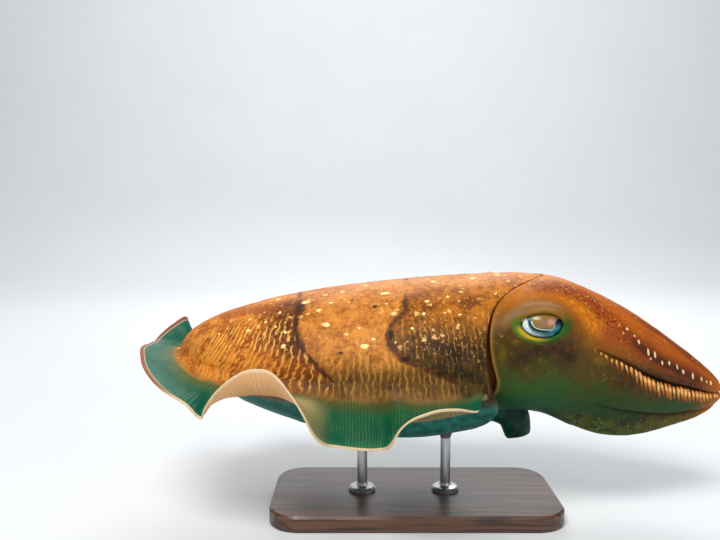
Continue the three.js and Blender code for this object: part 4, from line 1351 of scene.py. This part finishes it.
    # Colour cells of the skin, as fine dark dots
    dots = n.cells(820)
    skin = n.layer(skin, (dots.step(0.34, 0.14) * 0.22, tone(60, 26, 8)))
    return n.finish(
        skin, 0.4 + 0.26 * patch, (lines * 0.6 + fine * 0.8 + specks * 0.4, 0.4, 0.0009),
        (grain + dots * 0.5, 0.22, 0.0005), **WET_SKIN,
    )


def head_skin():
    """Amber on the brow and green low down, where the green and teal are painted shade and a painted
    reflection of water on a paler underside, with the arms' bands and the rings round the eye.
    """
    n = Nodes("head_skin")
    around, groove, inner, far, band, dash_band = n.fields("around groove inner far band dash_band")
    amber_field, blot_field, gold_field, net_field = n.fields("amber blot gold_spots net")
    dash_field, past_rim, rim_width = n.fields("dashes past_rim rim_gap")
    x = n.split(n.place)[0]
    blotch, patch, grain = n.noise(32, 4, 0.62), n.noise(110, 4, 0.62), n.noise(420, 3, 0.6)
    fine = n.noise(260, 3, 0.65)
    mottle = patch * 0.5 + fine * 0.5
    shift = around + (blotch - 0.5) * 30 + (patch - 0.5) * 24 + (fine - 0.5) * 22
    # From about 110 degrees down, the ramps' greens and teals are painted shade and a painted reflection of
    # water on the head's paler underside
    rear = n.ramp(shift, 0, 180, [
        (8, (226, 140, 50)), (34, (196, 118, 30)), (56, (144, 92, 20)), (76, (86, 60, 10)),
        (96, (80, 74, 18)), (112, (60, 94, 44)), (132, (8, 90, 62)), (172, (2, 62, 54)),
    ])
    front = n.ramp(shift, 0, 180, [
        (8, (222, 134, 48)), (34, (200, 108, 22)), (58, (176, 94, 10)), (76, (126, 78, 12)),
        (94, (88, 70, 14)), (112, (54, 78, 30)), (128, (36, 72, 32)), (165, (50, 62, 22)),
    ])
    skin = n.mix(x.step(0.09, 0.15), rear, front)
    # Bright patch before the eye, dark blotch beneath it and a grey one behind its upper edge
    amber = amber_field.ragged(blotch, 0.9)
    blot = blot_field.ragged(blotch, 1.6)
    skin = n.layer(
        skin,
        (mottle.step(0.5, 0.36) * 0.3, tone(60, 30, 6)),
        (mottle.step(0.54, 0.66) * around.step(110, 80) * 0.3, tone(230, 160, 70)),
        (amber.step(-0.1, 1.0) * 0.8, n.vary(fine, 0.4, 0.6, (200, 116, 8), (236, 158, 30))),
        (blot.step(0.0, 1.0) * 0.85, n.vary(mottle, 0.44, 0.56, (34, 28, 2), (78, 36, 8))),
        (gold_field.ragged(fine, 2.0).step(-0.9, 1.2) * 0.45, tone(146, 112, 30)),
    )
    # The first arms: a dark red-brown band, orange beside it, and a dark row of white dashes
    on_arms = x.step(0.118, 0.16)
    red = (band - (patch - 0.5) * 5.0).step(6.5, 1.5) * x.step(0.155, 0.205)
    row = (dash_band - (patch - 0.5) * 3.0).step(5.5, 1.5) * x.step(0.165, 0.19)
    wide_row = (dash_band - (patch - 0.5) * 9.0).step(13.0, 3.0) * x.step(0.13, 0.19)
    skin = n.layer(
        skin,
        (on_arms * around.step(84, 70) * 0.4, n.vary(blotch, 0.3, 0.7, (140, 66, 12), (200, 112, 26))),
        (red * 0.75, n.vary(patch, 0.35, 0.65, (88, 32, 6), (130, 54, 12))),
        (wide_row * 0.72, n.vary(patch, 0.35, 0.65, (84, 32, 4), (138, 62, 10))),
        (row * 0.7, tone(62, 26, 4)),
    )
    # Brown bed of the bars on the third arms
    bed = around.ragged(patch, 8).step(76, 84) * around.step(118, 92) * x.step(0.14, 0.175)
    skin = n.mix(bed * 0.7, skin, n.vary(fine, 0.4, 0.6, (48, 24, 6), (92, 50, 16)))
    # A net of dark lines round pale grains on the brow of the arms
    net_here = net_field.ragged(patch, 1.6).step(-0.4, 0.7)
    net = n.noise(400, 2, 0.6)
    warped = n.warped(260, 0.006)
    skin = n.layer(
        skin,
        (net_here * 0.7, tone(160, 72, 14)),
        (net_here * net.step(0.48, 0.4) * 0.85, tone(104, 38, 6)),
        (net_here * n.spots(330, 0.75, 0.42, warped) * 0.8, tone(252, 190, 120)),
        (n.spots(210, 0.55, 0.38, warped) * around.step(60, 26) * 0.55, tone(250, 190, 110)),
    )
    # The keel of the fourth arms, with fine upright pale stripes
    keel = around.ragged(patch, 6).step(128, 137) * x.step(0.105, 0.14)
    stripes = (x * 3900 + (n.noise(170, 2) - 0.5) * 9).sine().step(0.1, 0.9)
    stripes = stripes * n.noise(240, 2).step(0.36, 0.56)
    keel_skin = n.layer(
        n.vary(mottle, 0.42, 0.58, (30, 42, 10), (66, 80, 30)),
        (x.step(0.17, 0.26) * 0.7, tone(118, 78, 24)),
        (around.step(158, 172) * 0.6, tone(118, 82, 26)),
        (stripes * around.step(134, 142) * 0.4, tone(152, 148, 78)),
        (n.spots(420, 0.4, 0.38) * 0.55, tone(190, 190, 120)),
        # Painted shadow: a near-black line along the lower edge of the keel
        (around.step(169, 175), tone(10, 9, 4)),
    )
    skin = n.mix(keel, skin, keel_skin)
    # Painted shade in the grooves between the arms, then orange towards the arms' ends
    skin = n.layer(
        skin,
        (groove.step(0.84, 0.985) * around.step(50, 58) * (0.15 + x.step(0.15, 0.21) * 0.5), tone(56, 28, 6)),
        (x.step(0.235, 0.272) * 0.7, tone(206, 118, 30)),
    )
    dashes = dash_field.ragged(patch, 0.8).step(-0.05, 0.35)
    skin = n.mix(dashes * (0.45 + 0.75 * fine), skin, tone(255, 222, 180))
    # Rings of colour round the eye: pale and grey-violet above behind, green beside, gold below behind
    turn_x, turn_z, _ = n.split(n.field("ring", "Vector"))
    ring = far.ragged(patch, 0.2)
    green = ring.step(1.62, 1.2) * turn_z.step(0.85, 0.2)
    gold = ring.step(1.36, 1.12) * turn_z.step(0.05, -0.45) * turn_x.step(0.35, -0.5)
    violet = ring.step(2.0, 1.5) * ring.step(1.2, 1.5) * turn_x.step(-0.2, -0.75) * turn_z.step(-0.3, 0.4)
    skin = n.layer(
        skin,
        (ring.step(2.1, 1.35) * turn_z.step(-0.1, 0.6) * 0.65, tone(158, 112, 42)),
        (violet * 0.6, tone(140, 122, 112)),
        (green * 0.9, n.vary(turn_x, -0.3, 0.5, (84, 128, 56), (44, 96, 34))),
        (gold * 0.95, tone(196, 160, 24)),
        (ring.step(1.3, 1.08) * turn_z.step(0.0, 0.7) * 0.8, tone(158, 120, 58)),
        (ring.step(1.03, 0.98) * turn_z.step(0.35, -0.15) * 0.9, tone(14, 22, 14)),
    )
    # Pale edge beside the mantle's rim, painted shade in the groove just behind the rim, flesh between the
    # arms
    edge = past_rim - rim_width
    skin = n.layer(
        skin,
        (edge.step(4.0, 0.6) * 0.3, tone(196, 146, 88)),
        (edge.step(1.6, 0.9) * 0.45, tone(204, 154, 98)),
        # Painted shade: dark brown in the groove between the mantle's rim and the head
        (edge.step(0.5, -0.5) * (0.35 + around.step(12, 46) * 0.6), tone(84, 42, 16)),
        (inner.step(0.3, 0.9) * 0.85, n.mix(patch, tone(150, 104, 64), tone(206, 168, 126))),
    )
    dots = n.cells(820)
    skin = n.layer(skin, (dots.step(0.34, 0.14) * 0.24, tone(50, 22, 6)))
    return n.finish(
        skin, 0.38 + 0.28 * patch, (fine * 0.8 + net * net_here * 0.6 + stripes * keel * 0.3, 0.4, 0.0008),
        (grain + dots * 0.5, 0.22, 0.0005), **WET_SKIN,
    )


def funnel_skin():
    n = Nodes("funnel_skin")
    patch = n.noise(110, 4, 0.62)
    # The funnel's dark teal is mostly painted shade under the head
    skin = n.vary(patch, 0.35, 0.65, (6, 48, 50), (26, 84, 78))
    skin = n.mix(n.spots(300, 0.4, 0.36) * 0.35, skin, tone(80, 130, 116))
    # Painted shade: the inside of the tube is nearly black
    skin = n.mix(n.field("inside"), skin, tone(6, 16, 16))
    return n.finish(skin, 0.36 + 0.2 * patch, (n.noise(420, 3, 0.6), 0.3, 0.0008), **WET_SKIN)


def bar_skin():
    n = Nodes("bar_skin")
    patch = n.noise(380, 3, 0.6)
    # The pale band near each bar's upper end is a painted highlight
    skin = n.ramp(n.field("down").ragged(patch, 0.5), 0, 1, [
        (0.0, (176, 104, 50)), (0.22, (246, 190, 134)), (0.5, (186, 118, 62)), (0.85, (98, 66, 24)),
        (1.0, (76, 58, 18)),
    ])
    skin = n.mix(n.noise(900, 2, 0.6).step(0.48, 0.66) * 0.5, skin, tone(140, 72, 28))
    return n.finish(skin, 0.42 + 0.2 * patch, (patch, 0.3, 0.0005), **WET_SKIN)


def sucker_skin():
    n = Nodes("sucker_skin")
    patch = n.noise(500, 3, 0.6)
    skin = n.ramp(n.field("down").ragged(patch, 0.2), 0, 1, [
        (0.2, (170, 116, 76)), (0.6, (236, 206, 170)), (0.95, (128, 84, 60)),
    ])
    return n.finish(skin, 0.4 + 0.2 * patch, (patch, 0.2, 0.0003), **WET_SKIN)


def eye_gloss():
    """Black pupil, golden hood and silver crescent on a blue-green eyeball, all under a gloss."""
    n = Nodes("eye")
    x, z, front = n.split(n.field("eye_place", "Vector"))
    slit, crescent, crescent_run, rim, hood = n.fields("slit crescent crescent_run rim hood")
    patch, fine = n.noise(240, 3, 0.6), n.noise(700, 3, 0.6)

    def oval(middle_x, middle_z, wide=1.0, tall=1.0):
        """Square of the distance from a place, weighed by its two directions."""
        return (x - middle_x) * (x - middle_x) * wide + (z - middle_z) * (z - middle_z) * tall

    rings = (n.math("SQRT", oval(-2.0, 8.0, 1.0, 1.6)) * 3.6 + (patch - 0.5) * 5.0).sine()
    sclera = n.layer(
        srgb(20, 116, 122),
        (x.step(4.0, -5.0) * 0.8, srgb(112, 152, 150)),
        (patch.step(0.45, 0.7) * 0.5, srgb(8, 72, 92)),
        (z.step(-6.5, -9.5) * x.step(6.0, -2.0) * 0.7, srgb(90, 130, 40)),
    )
    silver = n.mix(crescent_run.step(0.2, 0.9), srgb(236, 240, 236), srgb(96, 162, 172))
    silver = n.mix(fine.step(0.5, 0.7) * 0.35, silver, srgb(176, 190, 190))
    iris = n.layer(
        n.mix(rings.step(-0.9, 0.9) * 0.3 + fine * 0.4, srgb(122, 88, 36), srgb(164, 122, 56)),
        (z.step(2.5, 7.0) * 0.7, srgb(134, 100, 40)),
        (x.step(2.0, -8.0) * 0.4, srgb(128, 122, 50)),
        (hood.step(2.6, 0.4) * x.step(-9, 0) * 0.7, srgb(60, 104, 104)),
        # Pink on the hood's dome is a painted highlight
        (oval(5.8, 2.8, 1.0, 1.5).step(19, 0) * 0.7, srgb(206, 136, 116)),
        (oval(-0.5, 2.6, 0.4).step(8, 1) * 0.5, srgb(150, 104, 92)),
        (oval(10.6, 1.6).step(7, 1) * 0.8, srgb(134, 116, 156)),
    )
    eye = n.layer(
        sclera,
        (x.step(7.0, 10.5), n.mix(z.step(1.5, -3.0), srgb(10, 40, 66), srgb(12, 122, 130))),
        (crescent.step(0.35, -0.15), silver),
        (hood.step(-0.05, 0.25), iris),
        (oval(12.7, 2.8, 0.6).step(5, 2), srgb(6, 14, 44)),
        (rim.step(0.2, -0.1) * 0.95, n.mix(x.step(-6, 6), srgb(244, 240, 226), srgb(190, 222, 224))),
        (slit.step(0.12, -0.1), srgb(0, 1, 2)),
        (oval(-12.6, 7.6, 0.5).step(5, 2), srgb(18, 10, 4)),
        (oval(-16.6, 1.4, 1.6, 0.5).step(4, 2), srgb(10, 12, 4)),
        (front.step(0.5, 0.2), srgb(30, 34, 20)),
    )
    return n.finish(eye, 0.24, (fine, 0.05, 0.0002), Specular_IOR_Level=0.5)


def stand_wood():
    n = Nodes("stand_wood")
    rings = n.noise(9, 3, 0.55, n.stretch(0.35, 5.0, 5.0))
    pores = n.noise(240, 2, 0.6, n.stretch(0.05, 1.0, 1.0))
    bands = (rings * 42).sine()
    wood = n.mix(bands.step(-0.9, 0.9), srgb(58, 34, 20), srgb(96, 60, 36))
    wood = n.mix(pores.step(0.5, 0.72) * 0.6, wood, srgb(32, 18, 10))
    return n.finish(wood, 0.32 + 0.14 * pores, (pores, 0.12, 0.0003), Coat_Weight=0.25, Coat_Roughness=0.2)


def stand_steel():
    n = Nodes("stand_steel")
    brushed = n.noise(900, 3, 0.6, n.stretch(1.0, 1.0, 0.03))
    steel = n.mix(brushed, srgb(160, 162, 164), srgb(206, 207, 208))
    return n.finish(steel, 0.22 + 0.2 * brushed, (brushed, 0.08, 0.0002), Metallic=1.0)


def floor_paint():
    n = Nodes("floor_paint")
    return n.finish(n.mix(n.noise(3.0, 3.0), (0.78, 0.79, 0.8, 1), (0.84, 0.85, 0.86, 1)), 0.7)


def wear(obj, material):
    obj.data.materials.clear()
    obj.data.materials.append(material)


for objects, material in (
    ([skin_mantle], mantle_skin()), ([skin_head, *lids], head_skin()), ([skin_funnel], funnel_skin()),
    (bars, bar_skin()), ([suckers], sucker_skin()), (eyes, eye_gloss()),
):
    for obj in objects:
        wear(obj, material)
wood_material, steel_material = stand_wood(), stand_steel()
for name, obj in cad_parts.items():
    if name.startswith("stand_"):
        obj.material_slots[0].material = wood_material if name == "stand_base" else steel_material


# Stage, light and camera
def build_stage():
    """A pale floor that curves up far behind the object."""
    turn = np.linspace(0, np.pi / 2, 16)[1:]
    depth = np.concatenate([np.linspace(-3.0, 1.6, 12), 1.6 + 1.2 * np.sin(turn), [2.8, 2.8]])
    rise = np.concatenate([np.zeros(12), 1.2 * (1 - np.cos(turn)), [2.2, 4.0]])
    width = np.linspace(-4, 4, 9)
    points = np.array([[x, y, z] for y, z in zip(depth, rise) for x in width])
    obj = new_object("floor", points, grid_faces(len(depth), len(width), wrap=False).tolist())
    wear(obj, floor_paint())


build_stage()


def area_light(name, place, target, size, power):
    """A rectangular lamp that faces its target; metres and watts."""
    data = bpy.data.lights.new(name, "AREA")
    data.shape = "RECTANGLE"
    data.size, data.size_y = size
    data.energy = power
    obj = bpy.data.objects.new(name, data)
    obj.location = place
    obj.rotation_euler = (Vector(target) - Vector(place)).to_track_quat("-Z", "Y").to_euler()
    bpy.context.scene.collection.objects.link(obj)


ANIMAL = (0, 0, 0.12)
BACKDROP = (0.0, 2.8, 0.8)
area_light("key", (-0.4, -1.05, 1.6), ANIMAL, (0.9, 0.7), 27.0)
area_light("fill", (1.3, -1.1, 0.7), ANIMAL, (1.0, 1.0), 5.0)
area_light("back", (0.2, 1.4, 1.3), ANIMAL, (1.4, 0.7), 14.0)
area_light("backdrop", (0.0, 1.2, 2.0), BACKDROP, (2.6, 0.5), 22.0)
world = bpy.context.scene.world or bpy.data.worlds.new("world")
bpy.context.scene.world = world
world.use_nodes = True
background = world.node_tree.nodes["Background"]
background.inputs["Color"].default_value = (0.85, 0.9, 0.95, 1)
background.inputs["Strength"].default_value = 0.38

camera_data = bpy.data.cameras.new("camera")
camera_data.lens = 38.0
camera_data.sensor_width = 36.0
camera = bpy.data.objects.new("camera", camera_data)
camera.location = (-0.048, -0.660, 0.269)
camera.rotation_euler = (math.radians(85.0), 0.0, 0.0)
bpy.context.scene.collection.objects.link(camera)
bpy.context.scene.camera = camera
bpy.context.scene.view_settings.view_transform = "Standard"

# Frame table
for obj in [skin_mantle, skin_head, skin_funnel, suckers, *lids, *bars, *eyes]:
    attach(obj, "root")
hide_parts("mantle", "fin_right", "fin_left")
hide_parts("head", *[f"arm_{n}_{s}" for n in range(1, 5) for s in ("right", "left")])
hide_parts("funnel")
for obj, side in zip(eyes, ("right", "left")):
    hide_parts(f"eye_{side}")
